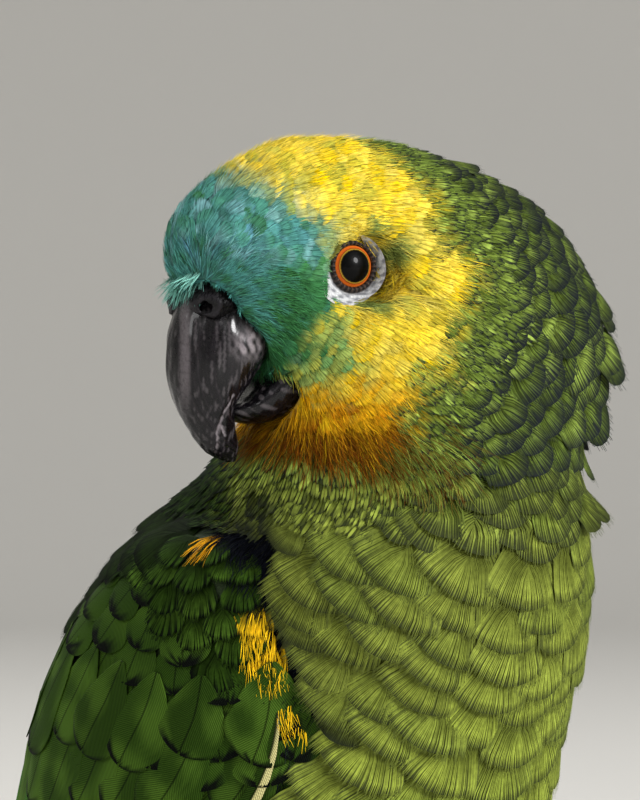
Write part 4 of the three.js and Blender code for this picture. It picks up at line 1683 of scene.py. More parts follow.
@dataclass(frozen=True)
class Outline:
    """A feather's outline: barbs spring from the shaft and end on a rounded margin."""

    bare: float = 0.2  # share of the length before the first barb
    round_from: float = 0.68
    top: float = 1.0  # where the last barb leaves the shaft
    sweep: float = 2.0  # above 1, more of the barbs leave the shaft low down
    curl: float = 0.5  # how much a barb bends towards the tip

    def at(self, f: np.ndarray, q: np.ndarray) -> tuple[np.ndarray, np.ndarray]:
        """Shares of length and half width.

        Args:
            f: Which barb, from 0 at the first to 1 at the tip.
            q: How far out along the barb, negative on the left.

        Returns:
            Share of the length, and signed share of the half width.
        """
        angle = 0.5 * math.pi * np.clip(f, 0.0, 1.0)
        end = self.round_from + (1.0 - self.round_from) * np.sin(angle)
        start = self.bare + (self.top - self.bare) * np.clip(f, 0.0, 1.0) ** self.sweep
        out = np.abs(q)
        t = start + (end - start) * ((1.0 - self.curl) * out + self.curl * out * out)
        y = np.sign(q) * np.cos(angle) * ((1.0 + self.curl) * out - self.curl * out * out)
        return t, y


@dataclass(frozen=True)
class ContourFeather:
    """A contour feather: a dark downy under-sheet, darkened as painted shade between the barbs, with
    separate barbs lying on it.

    The barbs fan out from the lower half of the shaft, so that they run side by side at the tip.
    """

    barbs: int = 28  # on each side
    rise_mm: float = 2.2  # how far the tip stands above the skin
    camber_mm: float = 0.35
    edge_mm: float = 0.9
    fill: float = 0.66  # share of the pitch that a barb fills
    shadow: float = 0.5  # how dark the covered part is under the next feather's edge: painted shade, with the down's own darker colour
    down: float = 0.32  # how light the under-sheet is between the barbs: painted shade of the gaps, with the down's own darker colour
    outline: Outline = Outline(bare=0.1, round_from=0.66, top=0.55, sweep=1.0, curl=0.6)
    barb_contrast: float = 0.10
    clumping: float = 0.22
    seed: int = 1

    ROWS = (0.0, 0.3, 0.55, 0.8, 1.0)
    COLUMNS = (-0.93, -0.6, 0.0, 0.6, 0.93)
    EXPOSED = 0.34  # share of the length that the next feathers leave open

    def build(self, blades: Blades, site: Site) -> list[Batch]:
        """Makes the sheets and the barbs.

        Args:
            blades: What they are bent over.
            site: The roots.

        Returns:
            The sheets and the barbs.
        """
        rng = np.random.default_rng(self.seed)
        count = len(blades.length)
        base = MARKINGS.colour(site.points, site.region)
        tips = blades.points[:, -1, 1]
        tip_colour = MARKINGS.colour(tips, site.region)
        edge, strength = MARKINGS.edging(tips, site.region)
        shade = rng.normal(1.0, 0.09, (count, 1))
        lift = rng.normal(0.0, 0.10, count) * self.rise_mm
        roll = rng.normal(0.0, 0.10, count) * self.rise_mm

        def height(t: np.ndarray, y: np.ndarray) -> np.ndarray:
            """Metres above the skin, from shares of length and half width."""
            mm = 0.15 + (self.rise_mm + lift[:, None]) * t**1.1 + roll[:, None] * y * t
            return (mm - self.camber_mm * y**2 * t) * MM

        def tinted(t: np.ndarray, y: np.ndarray, to_edge_mm: np.ndarray,
                   level: np.ndarray) -> np.ndarray:
            """Colours, from shares and the distance to the margin.

            Args:
                t: Share of the length.
                y: Place across, from -1 to 1.
                to_edge_mm: Distance to the margin.
                level: Brightness of each barb.

            Returns:
                Linear colours.
            """
            body = mix(base[:, None] * shade[..., None], tip_colour[:, None] * shade[..., None],
                       smoothstep(0.3, 0.9, t)) * level[..., None]
            # Painted shade: the part that the next row covers is darkened, with the down's own darker
            # colour
            open_mm = self.EXPOSED * blades.length[:, None] / MM
            covered = smoothstep(0.62, 1.02, to_edge_mm / open_mm)
            body = body * (1.0 - (1.0 - self.shadow) * covered)[..., None]
            near = smoothstep(self.edge_mm * 1.25, self.edge_mm * 0.6, to_edge_mm) * strength[:, None]
            return mix(body, edge[:, None], near)

        # Under-sheet, darkened as painted shade between the barbs
        rows, columns = np.meshgrid(self.ROWS, self.COLUMNS, indexing="ij")
        t, y = self.outline.at(rows.ravel(), columns.ravel())
        t, y = np.broadcast_to(t, (count, t.size)), np.broadcast_to(y, (count, y.size))
        reach = self.reach_mm(blades, rows.ravel())
        to_edge = (1.0 - np.abs(columns.ravel())) * reach
        sheet = Batch(
            site, blades.place(t, y * blades.half_width[:, None], height(t, y) - 0.07 * MM),
            tinted(t, y, to_edge, np.full(t.shape, self.down)), t, y,
            grid_faces(len(self.ROWS), len(self.COLUMNS)))

        # Barbs, in clumps that part towards their ends
        f = np.linspace(0.03, 0.985, self.barbs)
        side = np.repeat([-1.0, 1.0], self.barbs)
        f = np.tile(f, 2)[None] + rng.normal(0.0, 0.2 / self.barbs, (count, 2 * self.barbs))
        clump = np.round(f * self.barbs / 4.0 + rng.random((count, 1))) * 4.0 / self.barbs
        tip_f = f + self.clumping * (clump - f)
        reach = self.reach_mm(blades, f)
        out = rng.uniform(0.93, 1.05, f.shape)
        inner = np.clip(1.0 - 1.25 * self.edge_mm / reach, 0.5, 0.93)
        stations = np.stack([0.0 * inner, 0.45 * inner / 0.8, inner, out], axis=-1)
        bend = (stations / out[..., None]) ** 2
        along = np.clip(f[..., None] + (tip_f - f)[..., None] * bend, 0.0, 0.995)
        t, y = self.outline.at(along, stations * side[:, None])
        x_m, y_m = t * blades.length[:, None, None], y * blades.half_width[:, None, None]
        heading = unit(np.stack([np.gradient(x_m, axis=-1), np.gradient(y_m, axis=-1)], axis=-1))
        margin = np.hypot(blades.half_width, (1.0 - self.outline.round_from) * blades.length)
        pitch = 1.11 * margin / self.barbs
        half = 0.5 * self.fill * pitch[:, None, None] * np.array([0.6, 0.9, 1.0, 0.35])
        flat_x = np.stack([x_m - heading[..., 1] * half, x_m + heading[..., 1] * half], -1)
        flat_y = np.stack([y_m + heading[..., 0] * half, y_m - heading[..., 0] * half], -1)
        flat_x, flat_y = flat_x.reshape(count, -1), flat_y.reshape(count, -1)
        ts, ys = flat_x / blades.length[:, None], flat_y / blades.half_width[:, None]
        wave = 0.05 * MM * rng.random((count, 2 * self.barbs, 1, 1)) * np.ones((1, 1, 4, 2))
        points = blades.place(ts, flat_y, height(ts, ys) + wave.reshape(count, -1))
        to_edge = (out[..., None] - stations) * reach[..., None]
        to_edge = np.repeat(to_edge.reshape(count, -1), 2, axis=1)
        level = rng.normal(1.05, self.barb_contrast, (count, 2 * self.barbs, 1, 1))
        level = level * np.ones((1, 1, 4, 2))
        colours = tinted(ts, ys, to_edge, np.clip(level.reshape(count, -1), 0.5, 1.6))
        one = grid_faces(4, 2)
        faces = (one[None] + (np.arange(2 * self.barbs) * 8)[:, None, None]).reshape(-1, 4)
        return [sheet, Batch(site, points, colours, ts, ys, faces)]

    def reach_mm(self, blades: Blades, f: np.ndarray) -> np.ndarray:
        """How long each barb is, in millimetres.

        Args:
            blades: What they are bent over.
            f: Which barb, from 0 at the first to 1 at the tip.

        Returns:
            Millimetres.
        """
        start, _ = self.outline.at(f, np.zeros_like(f))
        end, wide = self.outline.at(f, np.ones_like(f))
        size = (len(blades.length),) + (1,) * (1 if f.ndim == 1 else f.ndim - 1)
        length, width = blades.length.reshape(size), blades.half_width.reshape(size)
        return np.hypot((end - start) * length, wide * width) / MM


@dataclass(frozen=True)
class VaneFeather:
    """A firm feather with a closed vane: coverts of the wing, flight feathers, tail."""

    rows: int = 9
    outline: Outline = Outline()
    rise_mm: float = 1.5
    camber_mm: float = 0.3
    edge_mm: float = 0.6
    thick_mm: float = 0.0
    seed: int = 1

    COLUMNS = (-1.0, -0.95, -0.88, -0.78, -0.66, -0.5, -0.3, -0.07,
               0.07, 0.3, 0.5, 0.66, 0.78, 0.88, 0.95, 1.0)

    def build(self, blades: Blades, site: Site, colour: Optional[VaneColour] = None) -> list[Batch]:
        """Makes the vanes.

        Args:
            blades: What they are bent over.
            site: The roots.
            colour: Colours from shares of length and half width and from places, the edges' tint and
                how strong it is, if not the markings'.

        Returns:
            One batch.
        """
        rng = np.random.default_rng(self.seed)
        count = len(blades.length)
        f = 1.0 - (1.0 - np.linspace(0.0, 1.0, self.rows)) ** 1.5
        rows, columns = np.meshgrid(f * 0.975, self.COLUMNS, indexing="ij")
        rows, columns = rows.ravel(), columns.ravel()
        t, y = self.outline.at(rows, columns)
        t, y = np.broadcast_to(t, (count, t.size)), np.broadcast_to(y, (count, y.size))
        lift = rng.normal(0.0, 0.08, (count, 1)) * self.rise_mm
        roll = rng.normal(0.0, 0.10, (count, 1)) * self.rise_mm
        shade = rng.normal(1.0, 0.10, (count, 1, 1))
        mm = 0.12 + (self.rise_mm + lift) * t**1.1 + roll * y * t - self.camber_mm * y**2 * t
        mm = mm + 0.10 * smoothstep(0.12, 0.0, np.abs(columns)) * (1 - t)
        points = blades.place(t, y * blades.half_width[:, None], mm * MM)
        start, _ = self.outline.at(rows, np.zeros_like(rows))
        end, wide = self.outline.at(rows, np.ones_like(rows))
        reach = np.hypot((end - start) * blades.length[:, None], wide * blades.half_width[:, None]) / MM
        to_edge = (1.0 - np.abs(columns)) * reach
        tips = blades.points[:, -1, 1]
        edge, strength = MARKINGS.edging(tips, site.region)
        if colour is None:
            base = MARKINGS.colour(site.points, site.region)
            end_colour = MARKINGS.colour(tips, site.region)
            body = mix(base[:, None], end_colour[:, None], smoothstep(0.2, 0.9, t))
        else:
            body, tint, level = colour(t, y, points)
            edge, strength = np.broadcast_to(tint, (count, 3)), np.full(count, level)
        streak = rng.normal(0.0, 0.34 * self.edge_mm, (count, 1, len(self.COLUMNS)))
        streak = np.repeat(streak, self.rows, axis=1).reshape(count, -1)
        ragged = to_edge + streak + rng.normal(0.0, 0.1 * self.edge_mm, to_edge.shape)
        near = smoothstep(self.edge_mm * 1.3, self.edge_mm * 0.6, ragged)
        near = near * (smoothstep(0.9, 0.5, np.abs(y)) * 0.9 + 0.1) * smoothstep(0.45, 0.8, t)
        colours = mix(body * shade, edge[:, None], near * strength[:, None])
        faces = grid_faces(self.rows, len(self.COLUMNS))
        across = y * blades.half_width[:, None] / MM
        along = t * blades.length[:, None] / MM
        if self.thick_mm:
            up = unit(blades.normals[:, -1:, 1])
            points = np.concatenate([points, points - up * self.thick_mm * MM], axis=1)
            colours = np.concatenate([colours, colours * 0.6], axis=1)
            faces = self.closed(faces, self.rows, len(self.COLUMNS))
            t, y, across, along = (np.concatenate([a, a], axis=1) for a in (t, y, across, along))
        return [Batch(site, points, colours, t, y, faces, across, along)]

    @staticmethod
    def closed(faces: np.ndarray, rows: int, columns: int) -> np.ndarray:
        """Faces of a vane with a thickness: outside, inside and rim.

        Args:
            faces: The outside's faces.
            rows: Rows of vertices.
            columns: Vertices in a row.

        Returns:
            All faces.
        """
        size = rows * columns
        grid = np.arange(size).reshape(rows, columns)
        loop = np.concatenate([grid[0], grid[1:, -1], grid[-1, -2::-1], grid[-2:0:-1, 0]])
        onward = np.roll(loop, -1)
        rim = np.stack([loop, loop + size, onward + size, onward], axis=1)
        return np.concatenate([faces, faces[:, ::-1] + size, rim])


@dataclass(frozen=True)
class Plume:
    """A hair-like tuft of the face: a few fine strands from one root."""

    strands: int = 7
    strand_mm: float = 0.2
    spread: float = 0.34  # half width over length
    contrast: float = 0.2
    seed: int = 1

    STATIONS = 4

    def build(self, spines: np.ndarray, normals: np.ndarray, site: Site, length: np.ndarray,
              rise: np.ndarray, tint: Optional[np.ndarray] = None) -> list[Batch]:
        """Makes the strands.

        Args:
            spines: Feather, station, xyz.
            normals: The skin's normals there.
            site: The roots.
            length: Metres, for each plume.
            rise: How far its tip stands out, in metres.
            tint: Linear colour of all or of each, if not the markings' own.

        Returns:
            One batch.
        """
        rng = np.random.default_rng(self.seed)
        count, stations = spines.shape[:2]
        onward = unit(np.gradient(spines, axis=1))
        across = unit(np.cross(normals, onward))
        t = np.linspace(0.0, 1.0, stations)
        aim = np.linspace(-1.0, 1.0, self.strands) + rng.normal(0.0, 0.22, (count, self.strands))
        out = self.spread * length[:, None, None] * aim[..., None] * (0.12 + 0.88 * t**1.2)
        keep = rng.uniform(0.72, 1.05, (count, self.strands, 1))
        vary = rng.uniform(0.7, 1.25, (count, self.strands, 1))
        lift = rise[:, None, None] * (t**1.2) * vary + 0.05 * MM
        lift = lift * (1.0 - 0.25 * np.abs(aim[..., None]))
        root = spines[:, None, :1]
        along = root + (spines[:, None] - root) * keep[..., None]
        middle_line = along + across[:, None] * out[..., None] + normals[:, None] * lift[..., None]
        half = 0.5 * self.strand_mm * MM * np.array([1.0, 1.0, 0.85, 0.2])
        half = np.interp(t, np.linspace(0, 1, 4), half)[None, None, :, None]
        roll = rng.normal(0.0, 0.5, (count, self.strands, 1, 1))
        beside = unit(across[:, None] + normals[:, None] * roll)
        points = np.stack([middle_line - beside * half, middle_line + beside * half], axis=-2)
        points = points.reshape(count, -1, 3)
        middles = 0.5 * (spines[:, 0] + spines[:, -1])
        own = MARKINGS.colour(middles, site.region) if tint is None else (
            np.broadcast_to(tint, middles.shape))
        # Strands darker towards the root: painted shade near the skin, with the feathers' own darker
        # bases
        level = rng.normal(1.0, self.contrast, (count, self.strands, 1)) * (0.72 + 0.36 * t)
        level = np.clip(level, 0.35, 1.7)
        rusty = MARKINGS.rust_tips(HEAD.local(middles)) * (tint is None)
        tipped = rusty[:, None, None] * rng.random((count, self.strands, 1))
        tipped = smoothstep(0.35, 0.7, tipped) * smoothstep(0.35, 0.8, t)
        toned = mix((own[:, None, None] * level[..., None]), MARKINGS.tint["rust"], tipped)
        colours = np.repeat(toned[..., None, :], 2, axis=-2)
        ts = np.broadcast_to(t[None, None, :, None], (count, self.strands, stations, 2))
        ts = ts.reshape(count, -1)
        ys = np.repeat(np.broadcast_to(np.clip(aim, -1, 1)[..., None], lift.shape)[..., None], 2, -1)
        one = grid_faces(stations, 2)
        faces = (one[None] + (np.arange(self.strands) * stations * 2)[:, None, None]).reshape(-1, 4)
        return [Batch(site, points, colours.reshape(count, -1, 3), ts, ys.reshape(count, -1), faces)]


# ---- Coat -------------------------------------------------------------------------------


def scallop(round_from: float) -> Outline:
    """The outline of feathers that lie in rows, rounded from a share of their length on."""
    return Outline(bare=0.1, round_from=round_from, top=0.6, sweep=1.0, curl=0.5)


FACE_PLUME = Plume(strands=8, strand_mm=0.125, contrast=0.26, seed=103)
FACE_FAN = ContourFeather(
    barbs=12, rise_mm=1.0, camber_mm=0.15, edge_mm=0.4, fill=0.66, shadow=0.66, down=0.56,
    barb_contrast=0.12, clumping=0.3, seed=107)
HOOD_FRONT = ContourFeather(
    barbs=4, rise_mm=1.5, camber_mm=0.2, edge_mm=0.6, fill=0.52, barb_contrast=0.22, seed=111)
CROWN = ContourFeather(
    barbs=10, rise_mm=1.7, camber_mm=0.25, edge_mm=1.9, fill=0.6, shadow=0.4, outline=scallop(0.72),
    barb_contrast=0.18, seed=113)
NAPE = ContourFeather(
    barbs=13, rise_mm=2.0, camber_mm=0.35, edge_mm=2.9, fill=0.6, shadow=0.38, outline=scallop(0.76),
    barb_contrast=0.18, clumping=0.12, seed=115)
BREAST = ContourFeather(
    barbs=37, rise_mm=2.6, camber_mm=0.5, edge_mm=1.9, fill=0.7, shadow=0.42, down=0.38,
    outline=scallop(0.78), barb_contrast=0.13, clumping=0.12, seed=121)
THIGH = ContourFeather(barbs=16, rise_mm=1.6, camber_mm=0.4, edge_mm=0.5, seed=123)
SHOULDER = ContourFeather(
    barbs=15, rise_mm=1.6, camber_mm=0.25, edge_mm=0.8, fill=0.78, shadow=0.4, seed=129)
WING_COVERT = VaneFeather(rows=14, rise_mm=1.6, edge_mm=1.3, seed=131)
TAIL_COVERT = VaneFeather(rise_mm=1.4, edge_mm=0.5, seed=133)


def times(length: float, half: float) -> SizeRule:
    """Feathers whose length and half width are multiples of the space between their roots."""
    return lambda site, space: (length * space, half * space)


def banded(gap: Spacing, low: float, high: float) -> Spacing:
    """One share of a spacing.

    Args:
        gap: The whole spacing.
        low: The least value that belongs to the share.
        high: The first value beyond it.

    Returns:
        The share's spacing.
    """

    def share(site: Site) -> np.ndarray:
        """Millimetres between roots."""
        value = gap(site)
        return np.where((value >= low) & (value < high), value, 0.0)

    return share


@dataclass
class Tracts:
    """The tracts of the coat that grow straight from the skin."""

    skin: Skin
    coat: Coat
    orbits: "Sequence[Orbit]"
    bill_tree: BVHTree

    STATIONS = 7  # control points along each contour feather
    NEAR_BILL = 0.012  # farther from the bill than this, in metres, its distance isn't needed
    BILL_ROOT = (20.0, -8.0)  # millimetres forward and up in the head
    # Millimetres from the bill's root, then gaps, lengths or rises in millimetres
    PLUME_GAP = ((8, 14, 20, 40), (0.95, 1.2, 1.9, 2.2))
    PLUME_LENGTH = ((8, 16, 26, 40), (2.8, 4.0, 5.6, 7.5))
    PLUME_RISE = ((8, 16, 26, 40), (0.8, 1.15, 1.7, 1.95))
    FAN_GAP = ((9, 16, 26, 42), (1.4, 1.9, 2.5, 2.8))
    THROAT_GAP, THROAT_LENGTH = 1.45, 3.2
    # Millimetres behind the face, then gaps
    HOOD_GAP = ((0, 8, 16, 26), (1.55, 2.25, 3.1, 3.7))
    CROWN_FROM, NAPE_FROM = 2.35, 3.1  # gaps at which the crown's feathers and the nape's begin
    # Millimetres to the view's right of mid-eye, then the height of the hood's lower edge
    HOOD_EDGE = ((36.0, 48.0, 56.0, 60.0), (-46.0, -44.0, -39.0, -36.0))
    # Shares along the wing, then gaps
    COVERT_GAP = ((0.0, 0.15, 0.3, 0.5), (3.2, 4.6, 6.6, 8.0))
    FIRM_FROM = 4.9  # the gap at which the wing's small coverts are firm
    TRUNK_GAP, BELLY_GAP, THIGH_GAP, TAIL_GAP = 6.0, 7.4, 3.8, 7.0
    BEND_GAP, BEND_LENGTH = 1.5, 6.5

    def from_bill(self, site: Site) -> np.ndarray:
        """Millimetres from the bill's root, seen from the side."""
        return np.hypot(site.local[:, 0] - self.BILL_ROOT[0], site.local[:, 2] - self.BILL_ROOT[1])

    def clear(self, site: Site, margin_mm: float) -> np.ndarray:
        """Which sites are clear of the bill, the cere and the bare skin round the eyes.

        Args:
            site: The roots.
            margin_mm: Least distance from the bill.

        Returns:
            True where a root is clear.
        """
        near = np.array([
            self.bill_tree.find_nearest(p, self.NEAR_BILL)[3] or 1.0 if local[0] > 0 else 1.0
            for p, local in zip(site.points.tolist(), site.local)])
        inside = np.zeros(len(near), bool)
        for i in np.flatnonzero(near < self.NEAR_BILL):
            place, normal, _, _ = self.bill_tree.find_nearest(site.points[i].tolist())
            inside[i] = (Vector(site.points[i]) - place).dot(normal) < 0
        kept = (near > margin_mm * MM) & ~inside
        for orbit in self.orbits:
            kept &= orbit.beyond(site.local) > 0.0
        return kept

    def to_eye(self, site: Site) -> np.ndarray:
        """Millimetres to the nearer eye's bare skin."""
        return np.minimum(*(orbit.beyond(site.local) for orbit in self.orbits))

    def short_of_eye(self, site: Site, length: np.ndarray) -> np.ndarray:
        """Lengths cut where a feather would lie over an eye.

        Args:
            site: The roots.
            length: Metres, for each feather.

        Returns:
            The lengths after the cut.
        """
        tips = HEAD.local(site.points + site.lie() * length[:, None])
        for orbit in self.orbits:
            room = np.maximum(orbit.beyond(site.local), 0.0)
            over = np.minimum(orbit.beyond(tips), orbit.beyond(0.5 * (tips + site.local))) < 0.4
            length = np.where(over, np.minimum(length, np.maximum(0.95 * room, 1.0) * MM), length)
        return length

    def face_share(self, site: Site, reach_back: float = 0.4) -> np.ndarray:
        """True where the face's feathers grow, and some millimetres farther back."""
        return site.of(Region.HEAD) & (site.behind < reach_back) & (site.local[:, 2] > -41.0)

    def face(self, material: bpy.types.Material) -> None:
        """The fine plumes of the face, longest on the throat.

        Args:
            material: The barbs' finish.
        """

        def spacing(site: Site) -> np.ndarray:
            """Millimetres between roots.

            Args:
                site: The roots.

            Returns:
                Millimetres, 0 where nothing grows.
            """
            gap = np.interp(self.from_bill(site), *self.PLUME_GAP)
            gap = gap + (self.THROAT_GAP - gap) * smoothstep(-18.0, -24.0, site.local[:, 2])
            to_eye = self.to_eye(site)
            gap = np.where(to_eye < 3.5, np.minimum(gap, 1.15), gap)
            gap = np.where(site.behind > -2.0, 1.5, gap)
            return np.where(self.face_share(site, 6.0), gap, 0.0)

        site = self.skin.surface.scatter(spacing, 101)
        site = site.kept(self.clear(site, 0.3))
        reach = self.from_bill(site)
        throat = smoothstep(-24.0, -34.0, site.local[:, 2])
        length = np.interp(reach, *self.PLUME_LENGTH) + throat * self.THROAT_LENGTH
        to_eye = self.to_eye(site)
        length = np.where(to_eye < 4.0, np.minimum(length, 3.6 + 0.4 * to_eye), length)
        length = length * np.random.default_rng(102).uniform(0.85, 1.15, len(length)) * MM
        length = self.short_of_eye(site, length)
        rise = np.interp(reach, *self.PLUME_RISE) * MM * (1 + 0.5 * throat)
        spines, normals = march(self.skin.surface, site, length, Plume.STATIONS)
        self.coat.join("face_plumes", "head_feathers",
                       FACE_PLUME.build(spines, normals, site, length, rise), material)

        def fan_gap(site: Site) -> np.ndarray:
            """Millimetres between roots.

            Args:
                site: The roots.

            Returns:
                Millimetres, 0 where nothing grows.
            """
            reach = self.from_bill(site)
            gap = np.interp(reach, *self.FAN_GAP)
            over_cere = (site.local[:, 0] > 21.0) & (site.local[:, 2] < 3.0)
            grows = self.face_share(site) & (site.local[:, 2] > -27.0) & (reach > 9.0) & ~over_cere
            return np.where(grows, gap, 0.0)

        fans = self.contour("face_fans", fan_gap, 2.2, times(3.5, 1.15), FACE_FAN, 1.35)
        self.coat.join("face_feathers", "head_feathers", fans, material)

    @staticmethod
    def varied(site: Site, spacing: Spacing, size: SizeRule, seed: int) -> tuple[np.ndarray, np.ndarray]:
        """Lengths and half widths in metres, each a little its own.

        Args:
            site: The roots.
            spacing: Millimetres between roots, from sites.
            size: Length and half width in millimetres, from sites and spacing.
            seed: Fixes the differences.

        Returns:
            Lengths and half widths.
        """
        length, half = size(site, filled(spacing(site)))
        vary = np.random.default_rng(seed).uniform(0.94, 1.06, len(length))
        return length * vary * MM, half * vary * MM

    def contour(self, name: str, spacing: Spacing, margin: float, size: SizeRule,
                feather: ContourFeather, stretch: float, keep_off_wing: bool = False,
                ruffle: Optional[Callable] = None) -> list["Batch"]:
        """Contour feathers of one tract.

        Args:
            name: For the log.
            spacing: Millimetres between roots, from sites.
            margin: Millimetres that stay clear of the bill.
            size: Length and half width in millimetres, from sites and spacing.
            feather: What they are like.
            stretch: How much wider than long their spacing is.
            keep_off_wing: Whether feathers next to the wing are small, so that they end beside it.
            ruffle: Millimetres that the tips stand out more, from sites.

        Returns:
            The feathers.
        """
        site = self.skin.surface.scatter(spacing, feather.seed, stretch)
        site = self.skin.surface.evened(site, spacing, stretch)
        site = site.kept(self.clear(site, margin))
        to_eye = self.to_eye(site)
        site = site.kept(to_eye > np.where(site.local[:, 0] < -2.0, 2.7, 2.2))
        length, half = self.varied(site, spacing, size, feather.seed + 1)
        length = self.short_of_eye(site, length)
        if keep_off_wing:
            before = MARKINGS.before_mantle(site.mm)
            tips = site.points + site.lie() * length[:, None] * 0.8
            room = np.minimum(to_leading_edge(site.mm), to_leading_edge(tips / MM)) - 2.5
            inside_wing = self.skin.surface.sites(tips).of(Region.WING)
            share = np.where(before > 0.5, np.clip(room / 7.0, 0.5, 1.0), 1.0)
            length, half = length * share, half * share
            grown = (before < 0.5) | ((room > 0.5) & ~inside_wing)
            site, length, half = site.kept(grown), length[grown], half[grown]
        blades, site = settled(self.skin.surface, site, length, half, self.STATIONS)
        if keep_off_wing:
            over = [self.skin.surface.sites(blades.points[:, k, 1]).of(Region.WING)
                    for k in range(2, self.STATIONS)]
            clear = ~np.any(over, axis=0) | (MARKINGS.before_mantle(site.mm) < 0.5)
            end = blades.points[:, -1, 1] / MM
            clear &= ~((np.abs(end[:, 0]) > 43.0) & (end[:, 1] > -62.0) & (end[:, 2] > 148.0))
            site, blades = site.kept(clear), blades.kept(clear)
        if ruffle is not None:
            out = ruffle(site)[:, None] * MM * np.linspace(0.0, 1.0, self.STATIONS)[None] ** 2
            blades.points = blades.points + blades.normals[:, :1, 1:2] * out[:, :, None, None]
        LOG.info("%s: %d feathers", name, len(blades.length))
        return feather.build(blades, site)

    def head_and_neck(self, material: bpy.types.Material) -> None:
        """Scalloped feathers of the hood: tiny behind the face, wide and in rows on the nape.

        Args:
            material: The barbs' finish.
        """

        def gap(site: Site) -> np.ndarray:
            """Millimetres between roots on the whole hood.

            Args:
                site: The roots.

            Returns:
                Millimetres, 0 where nothing grows.
            """
            far = np.maximum(site.behind, 0.0) + np.maximum(-12.0 - site.local[:, 2], 0.0) * 0.25
            size = np.interp(far, *self.HOOD_GAP)
            under = (site.local[:, 2] < -40.0) & (site.behind < 1.0)
            size = np.where(under, 2.2, size)
            grows = (site.of(Region.HEAD) & ((site.behind > -1.0) | under)) | site.of(Region.NECK)
            return np.where(grows & self.hood(site), size, 0.0)

        tiny = banded(gap, 0.0, self.CROWN_FROM)
        small = banded(gap, self.CROWN_FROM, self.NAPE_FROM)
        large = banded(gap, self.NAPE_FROM, math.inf)
        crown = self.contour("hood_front", tiny, 0.6, times(4.2, 0.95), HOOD_FRONT, 1.2)
        crown += self.contour("crown", small, 0.6, times(3.3, 1.45), CROWN, 2.1)
        nape = self.contour("nape", large, 0.6, times(3.6, 1.85), NAPE, 2.5, ruffle=self.ruffled)
        self.coat.join("crown_feathers", "head_feathers", crown, material)
        self.coat.join("nape_feathers", "neck_feathers", nape, material)

    @staticmethod
    def ruffled(site: Site) -> np.ndarray:
        """Millimetres that the hood's tips stand out, most behind the cheek on the bird's left.

        Args:
            site: The roots.

        Returns:
            Millimetres.
        """
        side = site.points @ np.array([math.sqrt(0.5), -math.sqrt(0.5), 0.0]) / MM
        behind = smoothstep(45.0, 50.0, side - HEAD.origin @ np.array([0.7071, -0.7071, 0.0]) / MM)
        level = smoothstep(-50.0, -42.0, site.local[:, 2]) * smoothstep(6.0, -2.0, site.local[:, 2])
        rng = np.random.default_rng(116)
        return rng.uniform(-0.2, 0.5, len(side)) + 6.5 * behind * level * rng.random(len(side)) ** 1.5

    def hood(self, site: Site) -> np.ndarray:
        """Above the lower edge of the hood, which falls from the throat to the nape."""
        edge = np.interp((site.points - HEAD.origin) @ VIEW_RIGHT / MM, *self.HOOD_EDGE)
        return site.local[:, 2] > edge + 1.2 * ripple(site.local, 9.0, 41)

    def body(self, material: bpy.types.Material) -> None:
        """Breast, belly, back and thighs.

        Args:
            material: The barbs' finish.
        """

        def trunk(site: Site) -> np.ndarray:
            """Millimetres between roots.

            Args:
                site: The roots.

            Returns:
                Millimetres, 0 where nothing grows.
            """
            low = smoothstep(150.0, 110.0, site.mm[:, 2])
            below_hood = site.of(Region.NECK) & ~self.hood(site)
            gap = self.TRUNK_GAP + (self.BELLY_GAP - self.TRUNK_GAP) * low
            return np.where(site.of(Region.TRUNK) | below_hood, gap, 0.0)

        def thigh(site: Site) -> np.ndarray:
            """Millimetres between roots."""
            return np.where(site.of(Region.THIGH) & (site.mm[:, 2] > 42.0), self.THIGH_GAP, 0.0)

        def thigh_size(site: Site, space: np.ndarray) -> tuple[np.ndarray, np.ndarray]:
            """Length and half width."""
            short = smoothstep(60.0, 44.0, site.mm[:, 2])
            return 11.5 - 4.5 * short, 4.4 - 1.8 * short

        breast = self.contour("trunk", trunk, 0.5, times(3.1, 1.62), BREAST, 1.95, keep_off_wing=True)
        thighs = self.contour("thigh", thigh, 0.5, thigh_size, THIGH, 1.3)
        self.coat.join("body_feathers", "breast_feathers", breast, material)
        self.coat.join("thigh_feathers", "breast_feathers", thighs, material)

    def bend(self, material: bpy.types.Material) -> None:
        """Frayed yellow feathers on the bend of the wing, and dark plumes beside the wing in the gap's
        near-black, painted shade over dark feather bases.

        Args:
            material: The barbs' finish.
        """

        def gap(site: Site) -> np.ndarray:
            """Millimetres between roots."""
            inside = MARKINGS.yellow_bend(site.points, site.region) > 0.75
            return np.where(inside, self.BEND_GAP, 0.0)

        def dark_gap(site: Site) -> np.ndarray:
            """Millimetres between roots.

            Args:
                site: The roots.

            Returns:
                Millimetres, 0 where nothing grows.
            """
            beside = (to_leading_edge(site.mm) < 9.0) & (MARKINGS.before_mantle(site.mm) > 0.3)
            beside &= site.mm[:, 2] > 100.0
            beside &= ~(site.of(Region.WING) & (to_leading_edge(site.mm) > 3.0))
            plain = MARKINGS.yellow_bend(site.points, site.region) < 0.7
            return np.where(beside & plain, self.BEND_GAP, 0.0)

        surface = self.skin.surface
        rng = np.random.default_rng(136)
        made = []
